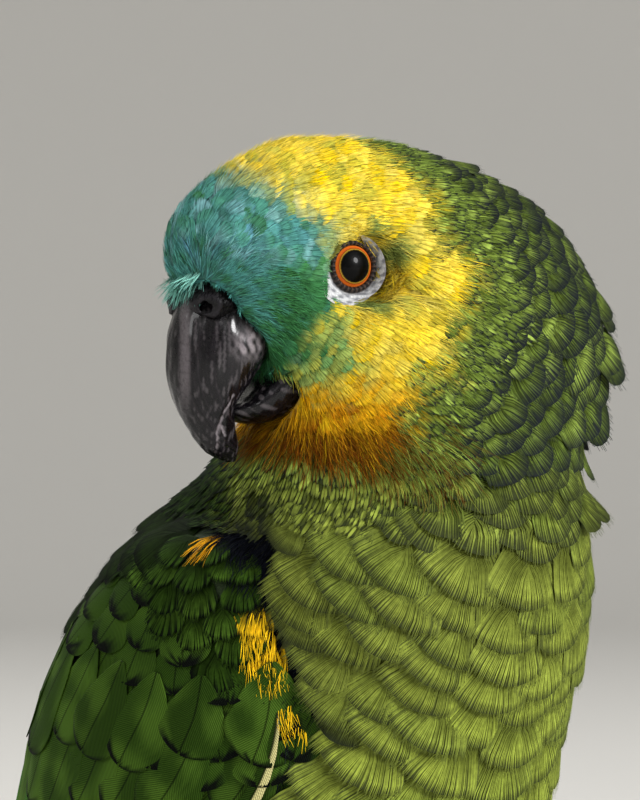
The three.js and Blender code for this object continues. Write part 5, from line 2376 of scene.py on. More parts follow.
        # The dark tufts take the gap's near-black: painted shade over the dark feather bases there
        tufts = ((gap, 135, 2.4, "wing_yellow"), (dark_gap, 137, 1.5, "gap"))
        for spacing, seed, rise_mm, tone in tufts:
            site = surface.scatter(spacing, seed)
            length = self.BEND_LENGTH * rng.uniform(0.8, 1.2, len(site.points)) * MM
            spines, normals = march(surface, site, length, Plume.STATIONS)
            tint = MARKINGS.tint[tone]
            if tone != "gap":
                tint = mix(tint, MARKINGS.tint["gold"], 0.8 * (site.mm[:, 2] > 160.0))
            made += Plume(strands=7, strand_mm=0.2, spread=0.22, seed=seed + 1).build(
                spines, normals, site, length, np.full(len(length), rise_mm * MM), tint)
        self.coat.join("wing_bend_plumes", "wing_feathers", made, material)

    def coverts(self, material: bpy.types.Material, barbs: bpy.types.Material) -> None:
        """Small coverts of the wing and the coverts over and under the tail.

        Args:
            material: The vanes' finish.
            barbs: The barbs' finish.
        """

        def lesser(site: Site) -> np.ndarray:
            """Millimetres between roots.

            Args:
                site: The roots.

            Returns:
                Millimetres, 0 where nothing grows.
            """
            share, across = along_wing(site.mm)
            gap = np.interp(share + 0.08 * across, *self.COVERT_GAP)
            plain = (MARKINGS.yellow_bend(site.points, site.region) < 0.8) & (share < 0.37)
            return np.where(site.of(Region.WING) & plain, gap, 0.0)

        def tail(site: Site) -> np.ndarray:
            """Millimetres between roots."""
            flat = (np.abs(site.normals @ TAIL_ALONG) < 0.45) & (np.abs(site.normals[:, 0]) < 0.6)
            return np.where(site.of(Region.TAIL) & flat, self.TAIL_GAP, 0.0)

        def tail_size(site: Site, space: np.ndarray) -> tuple[np.ndarray, np.ndarray]:
            """Length and half width."""
            return np.full(len(space), 22.0), np.full(len(space), 5.5)

        self.bend(barbs)
        surface = self.skin.surface
        soft, firm = banded(lesser, 0.0, self.FIRM_FROM), banded(lesser, self.FIRM_FROM, math.inf)
        shoulder = self.contour("shoulder", soft, 0.5, times(2.6, 1.2), SHOULDER, 1.5)
        self.coat.join("shoulder_feathers", "wing_feathers", shoulder, barbs)
        for name, slot, gap, size, feather in (
                ("wing_coverts", "wing_feathers", firm, times(2.6, 1.2), WING_COVERT),
                ("tail_coverts", "tail_feathers", tail, tail_size, TAIL_COVERT)):
            site = surface.evened(surface.scatter(gap, feather.seed, 1.5), gap, 1.5)
            length, half = self.varied(site, gap, size, feather.seed + 1)
            blades, site = settled(surface, site, length, half, self.STATIONS)
            LOG.info("%s: %d feathers", name, len(blades.length))
            self.coat.join(name, slot, feather.build(blades, site), material)


# ---- Flight feathers --------------------------------------------------------------------


def form_of(nodes: Sequence[str], region: Region) -> SkinSurface:
    """CAD nodes as a surface to lay feathers on.

    Args:
        nodes: CAD nodes.
        region: Their region.

    Returns:
        The surface.
    """
    whole = node_mesh(nodes)
    bmesh.ops.triangulate(whole, faces=whole.faces[:])
    mesh = bpy.data.meshes.new("form")
    whole.to_mesh(mesh)
    whole.free()
    return SkinSurface(mesh, np.full(len(mesh.vertices), region.value))


@dataclass
class FoldedWing:
    """Greater coverts, secondaries and primaries of one folded wing."""

    side: str
    coat: Coat
    skin: Skin

    ROOT_SHARE = 0.36  # along the wing, where the flight feathers start
    LAYER_MM = 0.2
    LONG_STATIONS = 18  # control points along a flight feather

    def spine(self, form: SkinSurface, start: tuple[float, float], end: tuple[float, float],
              stations: int) -> tuple[np.ndarray, np.ndarray]:
        """A line over the outside of the wing between two places on it.

        Args:
            form: The wing's surface.
            start: Shares along and across the wing.
            end: Shares along and across the wing.
            stations: How many points.

        Returns:
            Points and outward normals.
        """
        share = np.linspace(0.0, 1.0, stations)
        u = start[0] + (end[0] - start[0]) * share
        v = start[1] + (end[1] - start[1]) * share
        mirror = np.array([SIDES[self.side], 1.0, 1.0])
        lead = (through(LEADING_EDGE, u) + PLAN_SHIFT) * MM
        trail = (through(TRAILING_EDGE, u) + PLAN_SHIFT) * MM
        base = lead + (trail - lead) * v[:, None]
        out = unit(np.cross(trail - lead, np.gradient(base, axis=0)))
        out *= np.sign(out[:, :1])
        base, out = base * mirror, out * mirror
        points, normals = [], []
        for p, n in zip(base, out):
            place, normal, _, _ = struck(form.tree, p, n, ABOVE)
            if place is None:
                place, normal, _, _ = form.tree.find_nearest(p.tolist())
            normal = np.array(normal)
            points.append(np.array(place))
            normals.append(normal if normal @ n > 0.2 else n)
        return relaxed(np.array(points)), unit(relaxed(np.array(normals)))

    def plan(self) -> list[tuple[tuple[float, float], tuple[float, float], float, float]]:
        """The feathers of one wing, the lowest layer last.

        Returns:
            Start, end, half width in mm and layer of each.
        """
        rows = []
        for i in range(9):  # secondaries, the innermost on top
            k = i / 8.0
            start, end = (0.38, 0.93 - 0.60 * k), (0.675 + 0.05 * k, 0.90 - 0.62 * k)
            rows.append((start, end, 7.5, 1.0 + 0.6 * i))
        for i in range(9):  # primaries, the inner ones shorter and on top
            k = i / 8.0
            rows.append(((self.ROOT_SHARE + 0.04, 0.70 - 0.42 * k), (0.74 + 0.255 * k, 0.86 - 0.30 * k),
                         6.6 - 1.4 * k, 3.0 + 0.7 * i))
        return rows

    def greater(self) -> list[tuple[tuple[float, float], tuple[float, float], float, float]]:
        """The median and the greater coverts, in rows over the roots of the secondaries.

        Returns:
            Start, end, half width in mm and layer of each.
        """
        rows = [((0.36, 0.93 - 0.87 * i / 7.0),
                 (0.52 + 0.015 * math.sin(2.5 * i), 0.92 - 0.85 * i / 7.0),
                 7.8, 3.0 + 0.5 * (i % 3)) for i in range(8)]
        rows += [((0.40, 0.08 + 0.11 * i), (0.70, 0.04 + 0.10 * i), 7.0, 4.4 - 0.3 * i)
                 for i in range(4)]
        return rows + [((0.27, 0.90 - 0.84 * i / 6.0),
                        (0.43 + 0.015 * math.sin(2.1 * i), 0.90 - 0.83 * i / 6.0),
                        8.2, 1.0 + 0.5 * (i % 3)) for i in range(7)]

    def laid(self, form: SkinSurface, rows: list, stations: int) -> tuple[Blades, Site]:
        """Blades for rows of a plan.

        Args:
            form: The wing's surface.
            rows: Start, end, half width and layer of each.
            stations: Points along each.

        Returns:
            The blades and their sites.
        """
        spines, normals = zip(*(self.spine(form, row[0], row[1], stations) for row in rows))
        spines, normals = np.array(spines), np.array(normals)
        depth = np.array([row[3] for row in rows])[:, None, None] * self.LAYER_MM * MM
        if stations == self.LONG_STATIONS:  # flight feathers' roots lie under the coverts
            depth = depth + 1.1 * MM * smoothstep(0.4, 0.1, np.linspace(0, 1, stations))[None, :, None]
        half = np.array([row[2] for row in rows]) * MM
        length = run_of(spines)
        blades = over_surface(form, spines, normals, half, length)
        blades.points = blades.points - blades.normals * depth[..., None]
        return blades, self.skin.surface.sites(blades.points[:, 0, 1], Region.WING)

    def build(self, material: bpy.types.Material) -> None:
        """Lays the feathers and joins them.

        Args:
            material: The vanes' finish.
        """
        tint = MARKINGS.tint
        form = form_of((f"wing_{self.side}", f"primaries_{self.side}"), Region.WING)

        def flight(t: np.ndarray, y: np.ndarray, points: np.ndarray) -> tuple:
            """Green secondaries and primaries, darker and bluer towards the tips.

            Args:
                t: Share of the length.
                y: Place across, from -1 to 1.
                points: Places in the frame.

            Returns:
                Colours, the margin's tint and its strength.
            """
            green = mix(tint["flight"], tint["flight_end"], smoothstep(0.45, 0.9, t))
            inner = smoothstep(0.1, 0.6, y * SIDES[self.side])
            return mix(green, tint["flight_inner"], 0.55 * inner), tint["flight_edge"], 0.9

        def covert(t: np.ndarray, y: np.ndarray, points: np.ndarray) -> tuple:
            """Plain wing green, darkened in part as painted shade, with black tips."""
            light = smoothstep(-0.5, 1.0, ripple(points / MM, 9.0, 144)) * 0.7
            return mix(tint["wing"], tint["wing_light"], light), tint["wing_edge"], 1.0

        def cream_edge(t: np.ndarray, y: np.ndarray, points: np.ndarray) -> tuple:
            """Dark, with a cream outer margin."""
            outer = smoothstep(0.0, 0.25, -y * SIDES[self.side]) * smoothstep(1.0, 0.8, t)
            return mix(tint["wing"], tint["cream"], outer), tint["wing_edge"], 0.0

        for name, slot, rows, stations, feather, colour, nodes in (
                ("flight_feathers", "flight_feathers", self.plan(), self.LONG_STATIONS,
                 VaneFeather(rows=22, outline=Outline(0.02, 0.80), rise_mm=0.25, camber_mm=0.55,
                             edge_mm=0.55, thick_mm=0.2, seed=141), flight, [f"primaries_{self.side}"]),
                ("wing_edge_feather", "wing_feathers", [((0.34, 0.05), (0.57, 0.03), 2.0, 1.0)], 12,
                 VaneFeather(rows=16, outline=Outline(0.05, 0.8), rise_mm=0.8, camber_mm=0.4,
                             edge_mm=0.4, thick_mm=0.15, seed=145), cream_edge, ()),
                ("greater_coverts", "wing_feathers", self.greater(), 12,
                 VaneFeather(rows=16, outline=Outline(0.05, 0.72), rise_mm=0.5, camber_mm=0.4,
                             edge_mm=0.6, thick_mm=0.15, seed=143), covert, ())):
            blades, site = self.laid(form, rows, stations)
            self.coat.join(f"{name}_{self.side}", slot, feather.build(blades, site, colour), material,
                           nodes, 2 * BAKE_PATCH)


def run_of(spines: np.ndarray) -> np.ndarray:
    """The length of each spine, in metres."""
    return np.linalg.norm(np.diff(spines, axis=1), axis=-1).sum(1)


def relaxed(line: np.ndarray) -> np.ndarray:
    """A line with its facets smoothed away: the CAD forms have facets, the feathers don't.

    Args:
        line: Places or normals along it, changed in place.

    Returns:
        The line.
    """
    for _ in range(3):
        line[1:-1] = (line[:-2] + 2 * line[1:-1] + line[2:]) / 4
    return line


def bridged(s: np.ndarray, height: np.ndarray) -> np.ndarray:
    """Heights with every hollow along s bridged by a straight line.

    Args:
        s: Places along a line, rising.
        height: Heights there.

    Returns:
        The bridged heights.
    """
    hull = [0]
    for k in range(1, len(s)):
        while len(hull) > 1:
            a, b = hull[-2], hull[-1]
            if (height[b] - height[a]) * (s[k] - s[a]) > (height[k] - height[a]) * (s[b] - s[a]):
                break
            hull.pop()
        hull.append(k)
    return np.interp(s, s[hull], height[hull])


@dataclass
class TailFan:
    """Twelve overlapping tail feathers, the middle pair on top."""

    coat: Coat
    skin: Skin

    COUNT = 12
    LAYER_MM = 0.3
    STATIONS = 16
    HALF_WIDTH_MM = 8.6
    COVERT_HALF_MM = 6.4
    ABOVE_TAIL = 0.04  # how far over the tail a ray starts, in metres

    def build(self, material: bpy.types.Material) -> None:
        """Lays the feathers over the CAD tail's upper side and joins them.

        Args:
            material: The vanes' finish.
        """
        form = form_of(["tail"], Region.TAIL)
        root = np.array(TAIL_ROOT) + PLAN_SHIFT
        spines, layer = [], []
        for feather in range(self.COUNT):
            w = (2 * feather + 1) / self.COUNT - 1.0
            t = np.linspace(0.10, 1.0, self.STATIONS)
            reach = (TAIL_LENGTH - 10.0 * w * w - 1.5) * t
            base = root + TAIL_ALONG * reach[:, None]
            base[:, 0] += w * (6.0 + 13.5 * t)
            line = []
            for p in base * MM:
                place = struck(form.tree, p, TAIL_UPWARD, self.ABOVE_TAIL)[0]
                line.append(np.array(place) if place is not None else p)
            order = abs(2 * feather + 1 - self.COUNT) // 2 + (0.5 if feather >= self.COUNT // 2 else 0.0)
            layer.append(order)
            spines.append(relaxed(np.array(line)))
        spines = np.array(spines)
        normals = np.broadcast_to(TAIL_UPWARD, spines.shape)
        half = np.full(self.COUNT, self.HALF_WIDTH_MM) * MM
        length = run_of(spines)
        blades = over_surface(form, spines, normals, half, length)
        depth = (0.4 + np.array(layer)) * self.LAYER_MM * MM
        blades.points = blades.points - blades.normals * depth[:, None, None, None]
        lowest = (0.25 + 0.12 * (self.COUNT / 2 - np.array(layer))) * MM
        blades.points[..., 2] = np.maximum(blades.points[..., 2], lowest[:, None, None])
        site = self.skin.surface.sites(blades.points[:, 0, 1], Region.TAIL)
        outer = np.abs((2 * np.arange(self.COUNT) + 1) / self.COUNT - 1.0)[:, None]
        tint = MARKINGS.tint

        def rectrix(t: np.ndarray, y: np.ndarray, points: np.ndarray) -> tuple:
            """Green with a yellow-green tip, red at the base of the outer ones.

            Args:
                t: Share of the length.
                y: Place across, from -1 to 1.
                points: Places in the frame.

            Returns:
                Colours, the margin's tint and its strength.
            """
            green = mix(tint["tail"], tint["tail_tip"], smoothstep(0.68, 0.84, t))
            red = smoothstep(0.55, 0.40, t) * smoothstep(0.35, 0.6, outer)
            return mix(green, tint["tail_red"], 0.85 * red), tint["tail_edge"], 0.5

        feather = VaneFeather(rows=22, outline=Outline(0.02, 0.86), rise_mm=0.1, camber_mm=0.35,
                              edge_mm=0.5, thick_mm=0.2, seed=151)
        self.coat.join("tail_feathers", "tail_feathers", feather.build(blades, site, rectrix), material,
                       ["tail"], 2 * BAKE_PATCH)
        self.upper_coverts(form, root, material)

    def upper_coverts(self, form: SkinSurface, root: np.ndarray, material: bpy.types.Material) -> None:
        """Green coverts that bridge the step from the rump down to the tail.

        Args:
            form: The CAD tail's surface.
            root: The middle of the tail's root, in millimetres.
            material: The feathers' finish.
        """
        skin = self.skin.surface
        spines = []
        for row, (start, end, count) in enumerate(((0.0, 48.0, 7), (-3.0, 32.0, 6))):
            for w in np.linspace(-1.0, 1.0, count):
                s = np.append(-18.0, np.linspace(start, end - 7.0 * w * w, 12))
                base = root + TAIL_ALONG * s[:, None]
                base[:, 0] += w * (8.0 + 5.0 * np.clip(s / 50.0, 0.0, 1.0))
                height = []
                for p in base * MM:
                    place, _, index, _ = struck(skin.tree, p, TAIL_UPWARD, ABOVE)
                    if place is None or skin.region[skin.tris[index, 0]] == Region.WING.value:
                        place = struck(form.tree, p, TAIL_UPWARD, ABOVE)[0]
                    height.append(0.0 if place is None else (np.array(place) - p) @ TAIL_UPWARD)
                sunk = 4.0 * np.linspace(1.0, 0.0, 12) ** 2
                height = bridged(s, np.array(height))[1:] + (0.7 + 0.8 * row - sunk) * MM
                spines.append(base[1:] * MM + TAIL_UPWARD * height[:, None])
        spines = np.array(spines)
        normals = np.broadcast_to(TAIL_UPWARD, spines.shape)
        length = run_of(spines)
        half = np.full(len(length), self.COVERT_HALF_MM * MM)
        blades = over_surface(form, spines, normals, half, length)
        site = self.skin.surface.sites(blades.points[:, 0, 1], Region.TAIL)
        tint = MARKINGS.tint

        def covert(t: np.ndarray, y: np.ndarray, points: np.ndarray) -> tuple:
            """Between the rump's green and the tail's."""
            share = 0.25 + 0.5 * smoothstep(0.2, 0.9, t)
            return mix(tint["rump"], tint["tail"], share), tint["covert_edge"], 0.6

        feather = VaneFeather(rows=14, rise_mm=0.5, camber_mm=0.6, edge_mm=0.8, seed=153)
        batches = feather.build(blades, site, covert)
        self.coat.join("upper_tail_coverts", "tail_feathers", batches, material)


# ---- Eyes -------------------------------------------------------------------------------


@dataclass
class Orbit:
    """An eyeball in its lids: a beaded dark rim, then bare wrinkled skin."""

    side: str

    EYE_RADIUS = 6.6
    EYE_ASIDE = 11.8
    RIM = 4.1  # the iris shows inside this
    BEAD = 1.2  # width of the rim
    BEADS = 30
    # The darkest grey, next to the rim, is painted shade in the crease there
    BARE_PALE, BARE_GREY, BARE_INNER = "cfd0d2", "85868c", "4a4648"
    BEAD_DARK, BEAD_PALE = "120d0c", "55453c"
    # How far the bare skin reaches, by degrees from forward to up: most below and in front
    REACH_DEGREES = (-180, -116, -90, -67, -42, -15, 10, 35, 90, 136, 180)
    REACH_MM = (5.5, 5.6, 6.5, 7.8, 8.5, 6.7, 5.9, 5.6, 5.4, 5.4, 5.5)

    def reach(self, angle: np.ndarray) -> np.ndarray:
        """How far the bare skin reaches, in millimetres, at angles from forward to up."""
        degrees = np.degrees(np.angle(np.exp(1j * angle)))
        return np.interp(degrees, self.REACH_DEGREES, self.REACH_MM)

    def polar(self, local: np.ndarray) -> tuple[np.ndarray, np.ndarray, np.ndarray]:
        """Distance from the eye's axis, angle, and millimetres aside on this eye's side."""
        return (np.hypot(local[..., 0], local[..., 2]), np.arctan2(local[..., 2], local[..., 0]),
                local[..., 1] * SIDES[self.side])

    def beyond(self, local: np.ndarray) -> np.ndarray:
        """Millimetres from the bare skin's outer edge, positive in the feathers."""
        distance, angle, aside = self.polar(local)
        return np.where(aside > 8.0, distance - self.reach(angle) + 0.1, 9.0)

    def aside(self, distance: np.ndarray, angle: np.ndarray) -> np.ndarray:
        """How far aside the lids' surface lies.

        Args:
            distance: Millimetres from the eye's axis.
            angle: Radians from forward to up.

        Returns:
            Millimetres from the head's middle.
        """
        ball = self.EYE_ASIDE + np.sqrt(np.maximum(self.EYE_RADIUS**2 - self.RIM**2, 0.0))
        share = np.clip((distance - self.RIM) / self.BEAD, 0.0, 1.0)
        bead = 0.75 * np.sqrt(np.maximum(np.sin(math.pi * np.clip(share, 0.0, 1.0)), 0.0))
        beads = 1.0 + 0.2 * np.cos(self.BEADS * angle)
        outer = self.reach(angle)
        level = self.outer_level(angle)
        start = self.RIM + self.BEAD
        up = np.clip((distance - start) / (outer + 0.9 - start), 0.0, 1.3)
        slope = ball - 0.1 + (level - ball + 0.1) * (0.35 * up + 0.65 * up**2)
        wrinkle = 0.09 * np.sin(distance * 7.5 + 1.2 * np.sin(3 * angle) + 0.8 * np.sin(7 * angle))
        slope = slope + wrinkle * np.clip(up * 6.0, 0.0, 1.0)
        return np.where(distance < start, ball - 0.1 * share + bead * beads, slope)

    def outer_level(self, angle: np.ndarray) -> np.ndarray:
        """How far aside the skin lies where the bare patch ends.

        Args:
            angle: Radians from forward to up.

        Returns:
            Millimetres from the head's middle.
        """
        forward = np.cos(angle)
        down = -np.sin(angle)
        return 18.5 - 0.5 * forward + 0.5 * down

    def carved(self, verts: np.ndarray) -> np.ndarray:
        """The skin's vertices kept below the lids.

        Args:
            verts: The skin's vertices.

        Returns:
            The moved vertices.
        """
        local = HEAD.local(verts)
        distance, angle, aside = self.polar(local)
        near = (aside > 8.0) & (distance < self.reach(angle) + 1.3)
        fade = smoothstep(1.3, 0.5, distance - self.reach(angle))
        below = np.minimum(self.aside(distance, angle), 18.5) - 0.5
        wanted = np.where(near, np.minimum(aside, aside + (below - aside) * fade), aside)
        local[:, 1] = wanted * SIDES[self.side]
        return HEAD.world(local)

    def world(self, distance: np.ndarray, angle: np.ndarray, aside: np.ndarray) -> np.ndarray:
        """Places from polar coordinates about the eye's axis.

        Args:
            distance: Millimetres from the eye's axis.
            angle: Radians from forward to up.
            aside: Millimetres from the head's middle.

        Returns:
            Places in the frame, in metres.
        """
        local = np.stack([distance * np.cos(angle), aside * SIDES[self.side],
                          distance * np.sin(angle)], axis=-1)
        return HEAD.world(local)

    def build_ball(self, material: bpy.types.Material) -> None:
        """The eyeball, with a slight bulge over the iris.

        Args:
            material: Its finish.
        """
        rings, columns = 72, 96
        tilt = math.pi * (np.linspace(0.0, 1.0, rings) ** 1.3)
        tilt[0] = 0.004
        tilt[-1] = math.pi - 0.004
        tilt, angle = np.meshgrid(tilt, np.arange(columns) * 2 * math.pi / columns, indexing="ij")
        distance = self.EYE_RADIUS * np.sin(tilt)
        bulge = 0.35 * np.clip(1.0 - (distance / 4.6) ** 2, 0.0, 1.0) * (tilt < math.pi / 2)
        aside = self.EYE_ASIDE + self.EYE_RADIUS * np.cos(tilt) + bulge
        verts = self.world(distance, angle, aside).reshape(-1, 3)
        faces = self.outward(grid_faces(rings, columns, True))
        piece = new_mesh_object(f"eyeball_{self.side}", verts, faces, material)
        add_float(piece.data, "reach", distance.ravel())
        add_float(piece.data, "turn", (angle / (2 * math.pi)).ravel())
        put(piece, "eye", f"eye_{self.side}")

    def outward(self, faces: np.ndarray) -> np.ndarray:
        """Faces wound so that they look outward on this side."""
        return faces if self.side == "right" else faces[:, ::-1]

    def build_lids(self, material: bpy.types.Material) -> None:
        """The beaded rim and the bare skin round it.

        Args:
            material: Their finish.
        """
        columns = 208
        share = np.concatenate([np.linspace(0.0, 1.0, 13), 1.0 + np.linspace(0.0, 1.0, 27)[1:]])
        angle = np.arange(columns) * 2 * math.pi / columns
        share, angle = np.meshgrid(share, angle, indexing="ij")
        outer = self.reach(angle) + 0.9
        start = self.RIM + self.BEAD
        distance = np.where(share < 1.0, self.RIM + self.BEAD * share,
                            start + (outer - start) * (share - 1.0))
        aside = self.aside(distance, angle)
        inner = np.stack([distance[0] - 0.15, angle[0], aside[0] - 0.9])
        distance = np.concatenate([inner[0][None], distance])
        angle = np.concatenate([inner[1][None], angle])
        aside = np.concatenate([inner[2][None], aside])
        verts = self.world(distance, angle, aside)
        local = HEAD.local(verts)
        fine = ripple(local, 1.1, 61)
        rim = smoothstep(self.RIM + self.BEAD + 0.25, self.RIM + self.BEAD - 0.15, distance)
        skin = mix(linear(self.BARE_PALE), linear(self.BARE_GREY), np.clip(0.35 + 0.6 * fine, 0, 1))
        # Painted shade in the crease just outside the beaded rim
        skin = mix(skin, linear(self.BARE_INNER), 0.8 * smoothstep(0.7, 0.0, distance - start))
        beads = np.clip(0.1 + 0.6 * np.cos(self.BEADS * angle), 0, 1)
        dark = mix(linear(self.BEAD_DARK), linear(self.BEAD_PALE), beads)
        colours = mix(skin, dark, rim)
        piece = new_mesh_object(f"lids_{self.side}", verts.reshape(-1, 3),
                                self.outward(grid_faces(len(distance), columns, True)), material,
                                colours.reshape(-1, 3))
        put(piece, "eye")


# ---- Bill and cere ----------------------------------------------------------------------


@dataclass(frozen=True)
class BillHalf:
    """One half of the bill, lofted through its profiles."""

    name: str
    node: str
    upper: tuple
    lower: tuple
    half_widths: tuple
    widest: float
    square: float
    rings: int
    sides: int
    # Shares of wear and of a painted highlight, from places in the head
    wear_and_sheen: Callable[[np.ndarray], np.ndarray]
    crack: tuple = ()

    UNDERSIDE = 0.75

    def build(self, material: bpy.types.Material) -> None:
        """Makes the horn, with growth ridges, worn places and a painted highlight band.

        Args:
            material: The horn.
        """
        t = np.linspace(0.0, 1.0, self.rings)
        top, bottom = through(self.upper, t), through(self.lower, t)
        half = through(self.half_widths, t)
        waist = top + (bottom - top) * self.widest
        angle = np.arange(self.sides) * 2 * math.pi / self.sides
        c, s = np.cos(angle), np.sin(angle)
        target = np.where((c > 0)[None, :, None], top[:, None], bottom[:, None])
        profile = waist[:, None] + (target - waist[:, None]) * np.abs(c)[None, :, None]
        power = np.where(c > 0, self.square, self.UNDERSIDE)
        aside = half[:, None] * np.sign(s) * np.abs(s) ** power
        local = np.stack([profile[..., 0], aside, profile[..., 1]], axis=-1)
        # Close the tip and the base to a point inside
        tip = local[-1:].mean(1, keepdims=True) + (local[-1:] - local[-1:].mean(1, keepdims=True)) * 0.03
        root = local[:1].mean(1, keepdims=True) + (local[:1] - local[:1].mean(1, keepdims=True)) * 0.03
        local = np.concatenate([np.broadcast_to(root, local[:1].shape), local,
                                np.broadcast_to(tip, local[:1].shape)])
        around = np.gradient(local, axis=1)
        onward = np.gradient(local, axis=0)
        normal = unit(np.cross(around, onward))
        middle_line = local.mean(1, keepdims=True)
        normal *= np.sign(((local - middle_line) * normal).sum(-1).mean())
        relief = 0.05 * ripple(local * (1.0, 1.0, 0.35), 1.6, 71) + 0.06 * ripple(local, 5.0, 72)
        cracked = self.crack_share(local)
        wear_and_sheen = np.clip(self.wear_and_sheen(local), 0.0, 1.0)
        relief = relief - 0.16 * cracked - 0.05 * wear_and_sheen
        relief[[0, 1, -1]] = 0.0
        local = local + normal * relief[..., None]
        girth = np.cumsum(np.linalg.norm(np.diff(local, axis=1, prepend=local[:, -1:]), axis=-1), axis=1)
        reach = np.cumsum(np.linalg.norm(np.diff(local, axis=0, prepend=local[:1]), axis=-1).mean(1))
        vane = np.stack([girth, np.broadcast_to(reach[:, None], girth.shape)], axis=-1)
        colours = np.zeros(local.shape)
        # Red channel: wear, cracks and the painted highlight band
        colours[..., 0] = np.maximum(wear_and_sheen, 0.9 * cracked)
        faces = grid_faces(len(local), self.sides, True)
        piece = new_mesh_object(self.name, HEAD.world(local).reshape(-1, 3), faces, material,
                                colours.reshape(-1, 3), None, vane.reshape(-1, 2))
        put(piece, "horn", self.node)

    def crack_share(self, local: np.ndarray) -> np.ndarray:
        """How close points on the left side lie to the crack, from 0 to 1.

        Args:
            local: Places in the head, in millimetres.

        Returns:
            Shares.
        """
        share = np.zeros(local.shape[:-1])
        for line in self.crack:
            for (f0, u0), (f1, u1) in zip(line[:-1], line[1:]):
                run = np.array([f1 - f0, u1 - u0])
                offset = local[..., [0, 2]] - (f0, u0)
                along = np.clip((offset @ run) / (run @ run), 0.0, 1.0)
                gap = np.linalg.norm(offset - along[..., None] * run, axis=-1)
                gap = gap + 0.12 * ripple(local, 1.2, 73)
                share = np.maximum(share, smoothstep(0.32, 0.1, gap) * (local[..., 1] > 0))
        return share


def upper_wear_and_sheen(local: np.ndarray) -> np.ndarray:
    """Dull places of the upper bill, and a painted highlight: a worn patch behind its middle, faint pale
    streaks, and a pale band near the edge on the left side that is a painted highlight.

    Args:
        local: Places in the head, in millimetres.

    Returns:
        Shares, 0 where the horn is polished.
    """
    patch = smoothstep(1.3, 0.2, np.hypot((local[..., 0] - 18.6) / 4.6, (local[..., 2] + 15.6) / 3.4))
    streak = smoothstep(0.45, 1.2, ripple(local * (1.0, 1.0, 0.08), 1.0, 74)) * 0.2
    aside = 0.5 * local[..., 1] - 0.866 * local[..., 0]
    # Painted highlight: a pale band along the ridge on the left side
    sheen = smoothstep(1.0, 0.3, np.abs(aside + 24.6) / 1.5) * smoothstep(-32.0, -22.0, local[..., 2])
    rough = 0.3 * ripple(local, 1.7, 75) + 0.15 * ripple(local * (1.0, 1.0, 0.2), 1.3, 76)
    patch = patch * (0.45 + rough)
    return np.maximum(np.maximum(1.25 * patch, 0.45 * sheen * (local[..., 1] > 0)), streak)


def lower_worn(local: np.ndarray) -> np.ndarray:
    """Streaks of the lower bill."""
    return smoothstep(0.4, 1.2, ripple(local * (0.2, 1.0, 1.0), 1.2, 76)) * 0.25


UPPER_BILL = BillHalf(
    name="upper_bill_horn", node="upper_bill",
    upper=((27, -4), (30, -9), (31.5, -15), (31.5, -21.5), (29.9, -27.6), (26.9, -32.8), (23.2, -36.8),
           (19.2, -38.8)),
    lower=((11.5, -16), (13.3, -20), (15.6, -23.3), (17.8, -26.2), (18.8, -28.6), (17.9, -31.8),
           (17.2, -35.4), (17.4, -38.4)),
    half_widths=(8.6, 8.8, 8.3, 7.3, 5.8, 4.3, 2.9, 1.2), widest=0.62, square=0.9, rings=150, sides=160,
    wear_and_sheen=upper_wear_and_sheen,
    crack=(((21.1, -25.4), (22.6, -28.6), (23.4, -32.6), (22.6, -36.0)), ((23.0, -31.0), (21.6, -33.4))))
LOWER_BILL = BillHalf(
    name="lower_bill_horn", node="lower_bill",
    upper=((2, -15.5), (7.5, -18.6), (12.5, -22.6), (16.5, -26.4), (20, -28.2)),
    lower=((3, -24), (6.5, -28.6), (11, -30.8), (15.5, -31), (19.6, -29.8)),
    half_widths=(9.4, 9.6, 8.6, 6.6, 3.6), widest=0.3, square=0.45, rings=90, sides=120, wear_and_sheen=lower_worn)


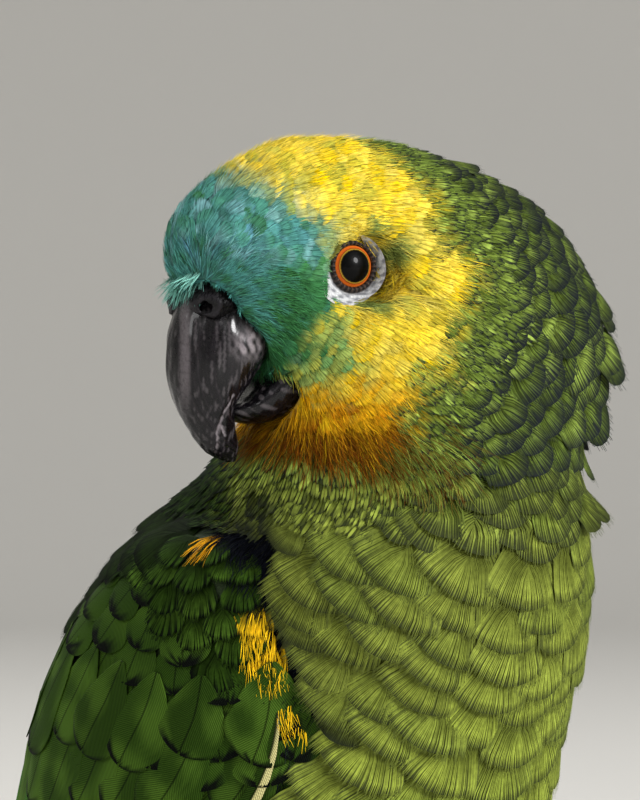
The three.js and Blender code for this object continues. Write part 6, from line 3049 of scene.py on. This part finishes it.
@dataclass
class Cere:
    """The soft black skin over the bill's root, with nostrils and bristles."""

    coat: Coat
    skin: Skin

    # The lighter grey-black is a painted sheen on the black skin
    BLACK, GREY_BLACK, RING = "050506", "141216", "1d1a1f"
    NOSTRIL = (27.4, -8.0)  # millimetres forward and up in the head
    TUFT_COUNT = 150

    def from_nostril(self, local: np.ndarray) -> np.ndarray:
        """Millimetres from the nostril, seen from the side."""
        return np.hypot(local[:, 0] - self.NOSTRIL[0], local[:, 2] - self.NOSTRIL[1])

    def build(self, skin_material: bpy.types.Material, barbs: bpy.types.Material) -> None:
        """Makes the skin, then its bristles.

        Args:
            skin_material: The skin's finish.
            barbs: The bristles' finish.
        """
        mesh = remeshed(node_mesh(["cere"], 0.05 * MM), 0.35 * MM, 3)
        surface = SkinSurface(mesh, np.full(len(mesh.vertices), Region.HEAD.value))
        local = HEAD.local(surface.verts)
        # Painted sheen: clouds of the lighter grey-black
        cloud = np.clip(0.25 + 0.5 * ripple(local, 1.3, 81), 0, 1)
        colours = mix(linear(self.BLACK), linear(self.GREY_BLACK), cloud)
        ring = smoothstep(0.9, 0.2, np.abs(self.from_nostril(local) - 2.0)) * (np.abs(local[:, 1]) > 3.0)
        colours = mix(colours, linear(self.RING), 0.8 * ring)
        verts = surface.verts + surface.normals * (0.18 * MM * ring)[:, None]
        piece = finished("cere_skin", mesh, verts, skin_material, colours)
        put(piece, "cere_skin", "cere")
        self.bristles(surface, barbs)

    def bristles(self, surface: SkinSurface, material: bpy.types.Material) -> None:
        """Short dark bristles on the cere and a pale tuft over it.

        Args:
            surface: The cere's skin.
            material: Their finish.
        """

        def spacing(site: Site) -> np.ndarray:
            """Millimetres between roots."""
            return np.where(site.local[:, 0] > 18.0, 0.9, 0.0)

        site = surface.scatter(spacing, 161)
        site = site.kept(self.from_nostril(site.local) > 2.4)
        rng = np.random.default_rng(162)
        count = len(site.points)
        length = rng.uniform(0.9, 2.2, count) * MM
        way = HEAD.axes[0] * 0.3 - HEAD.axes[2] + rng.normal(0, 0.25, (count, 3))
        way = unit(way - site.normals * (way * site.normals).sum(1, keepdims=True))
        t = np.linspace(0.0, 1.0, Plume.STATIONS)[None, :, None]
        spines = site.points[:, None] + way[:, None] * length[:, None, None] * t
        normals = np.broadcast_to(site.normals[:, None], spines.shape)
        bake_site = self.skin.surface.sites(site.points, Region.HEAD)

        batches = Plume(strands=2, strand_mm=0.13, spread=0.3, contrast=0.3, seed=164).build(
            spines, normals, bake_site, length, rng.uniform(0.3, 0.8, count) * MM,
            MARKINGS.tint["bristle_black"])
        self.coat.join("cere_bristles", "head_feathers", batches + self.tuft(), material)

    def tuft(self) -> list[Batch]:
        """The pale turquoise bristles that stand forward over the cere.

        Returns:
            The batches of barbs.
        """
        rng = np.random.default_rng(165)
        count = self.TUFT_COUNT
        start = np.stack([rng.uniform(25.0, 29.0, count), rng.uniform(-5.5, 5.5, count),
                          rng.uniform(-4.6, -1.0, count)], axis=1)
        site = self.skin.surface.sites(HEAD.world(start), Region.HEAD)
        length = rng.uniform(2.5, 5.0, count) * MM
        way = unit(0.55 * HEAD.axes[0] - 0.75 * HEAD.axes[2] + rng.normal(0, 0.15, (count, 3)))
        t = np.linspace(0.0, 1.0, Plume.STATIONS)[None, :, None]
        spines = site.points[:, None] + way[:, None] * length[:, None, None] * t
        normals = np.broadcast_to(site.normals[:, None], spines.shape)

        return Plume(strands=4, strand_mm=0.14, spread=0.3, contrast=0.35, seed=166).build(
            spines, normals, site, length, np.full(count, 1.6 * MM), MARKINGS.tint["tuft"])


# ---- Feet -------------------------------------------------------------------------------


@dataclass
class Foot:
    """A scaled shank with four toes, and their claws."""

    side: str

    SCUTE_MM = 1.9
    PLATE_DARK, PLATE_PALE, GROOVE = "6f6b66", "989189", "35312e"

    def build(self, scales: bpy.types.Material, horn: bpy.types.Material) -> None:
        """Makes the scaled skin and the claws.

        Args:
            scales: The skin's finish.
            horn: The claws' finish.
        """
        nodes = [f"shank_{self.side}"] + [f"toe_{toe}_{self.side}" for toe in TOES]
        mesh = remeshed(node_mesh(nodes, 0.18 * MM), 0.5 * MM, 4)
        surface = SkinSurface(mesh, np.zeros(len(mesh.vertices), int))
        mm = surface.verts / MM
        from_hub = np.hypot(mm[:, 0] - SIDES[self.side] * HUB_MM[0], mm[:, 1] - HUB_MM[1])
        up_leg = smoothstep(6.0, 9.0, mm[:, 2])
        along = np.where(up_leg > 0.5, mm[:, 2] * 0.85, from_hub)
        wobble = 0.35 * ripple(mm, 4.0, 91)
        scute = np.abs(np.sin(math.pi * (along + wobble) / self.SCUTE_MM))
        cross = np.abs(np.sin(2.1 * ripple(mm, 2.6, 92) + mm[:, 0] * 1.4 + 0.7 * mm[:, 1]))
        plate = np.minimum(scute**0.5, 0.55 + 0.45 * cross**0.5)
        top = smoothstep(-0.4, 0.3, surface.normals[:, 2]) + up_leg
        relief = 0.28 * (plate - 0.6) * np.clip(top, 0.25, 1.0)
        verts = surface.verts + surface.normals * (relief * MM)[:, None]
        verts[:, 2] = np.maximum(verts[:, 2], 0.0)
        tone = np.clip(0.5 + 0.5 * ripple(mm, 3.0, 93), 0.0, 1.0)
        plates = mix(linear(self.PLATE_DARK), linear(self.PLATE_PALE), tone)
        colours = mix(linear(self.GROOVE), plates, smoothstep(0.25, 0.75, plate))
        piece = finished(f"foot_skin_{self.side}", mesh, verts, scales, colours)
        put(piece, "foot_scales", *nodes)
        claws = [f"claw_{toe}_{self.side}" for toe in TOES]
        mesh = remeshed(node_mesh(claws, 0.1 * MM), 0.28 * MM, 3)
        verts = vertex_array(mesh)
        verts[:, 2] = np.maximum(verts[:, 2], 0.0)
        piece = finished(f"claws_{self.side}", mesh, verts, horn)
        put(piece, "claw_horn", *claws)


# ---- Studio -----------------------------------------------------------------------------


@dataclass(frozen=True)
class Studio:
    """A pale seamless floor, soft lights and the camera."""

    floor_radius: float = 3.6
    corner_radius: float = 1.4
    wall_height: float = 4.0
    camera_distance: float = 1.1
    picture_height: float = 0.16
    sensor: float = 36.0
    level: float = -26.4 * MM  # the picture's middle lies this far above mid-eye
    aside: float = 2.0 * MM  # and this far to the right of it

    FLOOR_RINGS = (0.0003, 0.6, 1.6, 2.8)
    LIT = (0.0, -0.04, 0.17)
    LIGHTS = (  # name; shares toward the view, to its right and up; distance, size and power
        ("key", 0.55, 0.8, 0.42, 3.0, 1.0, 105.0),
        ("fill", 0.6, -0.7, 0.5, 3.2, 1.4, 26.0),
        ("back", -0.6, -0.3, 0.9, 3.0, 1.6, 40.0))

    def build(self) -> None:
        """Sets everything up."""
        self.backdrop()
        self.lights()
        self.camera()

    def backdrop(self) -> None:
        """A round floor that turns up into a wall."""
        turn = np.linspace(0.0, math.pi / 2, 24)
        wall = self.floor_radius + self.corner_radius
        reach = np.concatenate([self.FLOOR_RINGS, self.floor_radius + self.corner_radius * np.sin(turn),
                                [wall]])
        height = np.concatenate([np.zeros(len(self.FLOOR_RINGS)),
                                 self.corner_radius * (1 - np.cos(turn)), [self.wall_height]])
        columns = 128
        angle = np.arange(columns) * 2 * math.pi / columns
        verts = np.stack([reach[:, None] * np.cos(angle), reach[:, None] * np.sin(angle),
                          np.broadcast_to(height[:, None], (len(reach), columns))], axis=-1)
        piece = new_mesh_object("backdrop", verts.reshape(-1, 3), grid_faces(len(reach), columns, True),
                                MattPaper().build())

    def lights(self) -> None:
        """A large key light on the breast's side, a fill opposite, one from behind, and a light sky."""
        aim = np.array(self.LIT)
        for name, toward, right, up, distance, size, power in self.LIGHTS:
            way = unit(toward * VIEW_FROM + right * VIEW_RIGHT + up * UP)
            data = bpy.data.lights.new(name, "AREA")
            data.shape = "DISK"
            data.size = size
            data.energy = power
            light = linked(name, data)
            light.location = (aim + way * distance).tolist()
            light.rotation_euler = Vector(way.tolist()).to_track_quat("Z", "Y").to_euler()
        world = bpy.data.worlds.new("sky")
        world.use_nodes = True
        background = next(n for n in world.node_tree.nodes if n.type == "BACKGROUND")
        background.inputs["Color"].default_value = (1.0, 1.0, 1.0, 1.0)
        background.inputs["Strength"].default_value = 0.5
        bpy.context.scene.world = world
        bpy.context.scene.view_settings.view_transform = "Standard"

    def camera(self) -> None:
        """A long lens, level with the head, 45 degrees off the breast."""
        aim = HEAD.origin + VIEW_RIGHT * self.aside + UP * self.level
        data = bpy.data.cameras.new("camera")
        data.sensor_width = self.sensor
        data.lens = self.sensor * self.camera_distance / self.picture_height
        data.clip_start, data.clip_end = 0.05, 30.0
        camera = linked("camera", data)
        camera.location = (aim + VIEW_FROM * self.camera_distance).tolist()
        camera.rotation_euler = Vector(VIEW_FROM.tolist()).to_track_quat("Z", "Y").to_euler()
        bpy.context.scene.camera = camera


# ---- Main -------------------------------------------------------------------------------


def main() -> None:
    """Builds the bird from the skin outwards, then the studio."""
    logging.basicConfig(level=logging.INFO, format="%(message)s")
    orbits = [Orbit(side) for side in SIDES]
    skin = Skin()
    skin.build(orbits)
    coat = Coat(skin.surface)
    bill_tree = tree_of(node_mesh(["upper_bill", "lower_bill", "cere"]))
    barbs, vane = FeatherBarbs().build(), FeatherVane().build()
    tracts = Tracts(skin, coat, orbits, bill_tree)
    tracts.face(barbs)
    tracts.head_and_neck(barbs)
    tracts.body(barbs)
    tracts.coverts(vane, barbs)
    for side in SIDES:
        FoldedWing(side, coat, skin).build(vane)
    TailFan(coat, skin).build(vane)
    eye = EyeSurface().build()
    lids = PaintedSkin("orbital_skin", 0.55, 0.35, 0.08, 0.22).build()
    for orbit in orbits:
        orbit.build_ball(eye)
        orbit.build_lids(lids)
    horn = BillHorn().build()
    UPPER_BILL.build(horn)
    LOWER_BILL.build(horn)
    Cere(coat, skin).build(PaintedSkin("cere_skin", 0.5, 0.4, 0.1).build(), barbs)
    scales = PaintedSkin("foot_scales", 0.6, 0.45, 0.08).build()
    claw = ClawHorn().build()
    for side in SIDES:
        Foot(side).build(scales, claw)
    LOG.info("coat: %d triangles", coat.triangles)
    Studio().build()


if __name__ == "__main__":
    main()
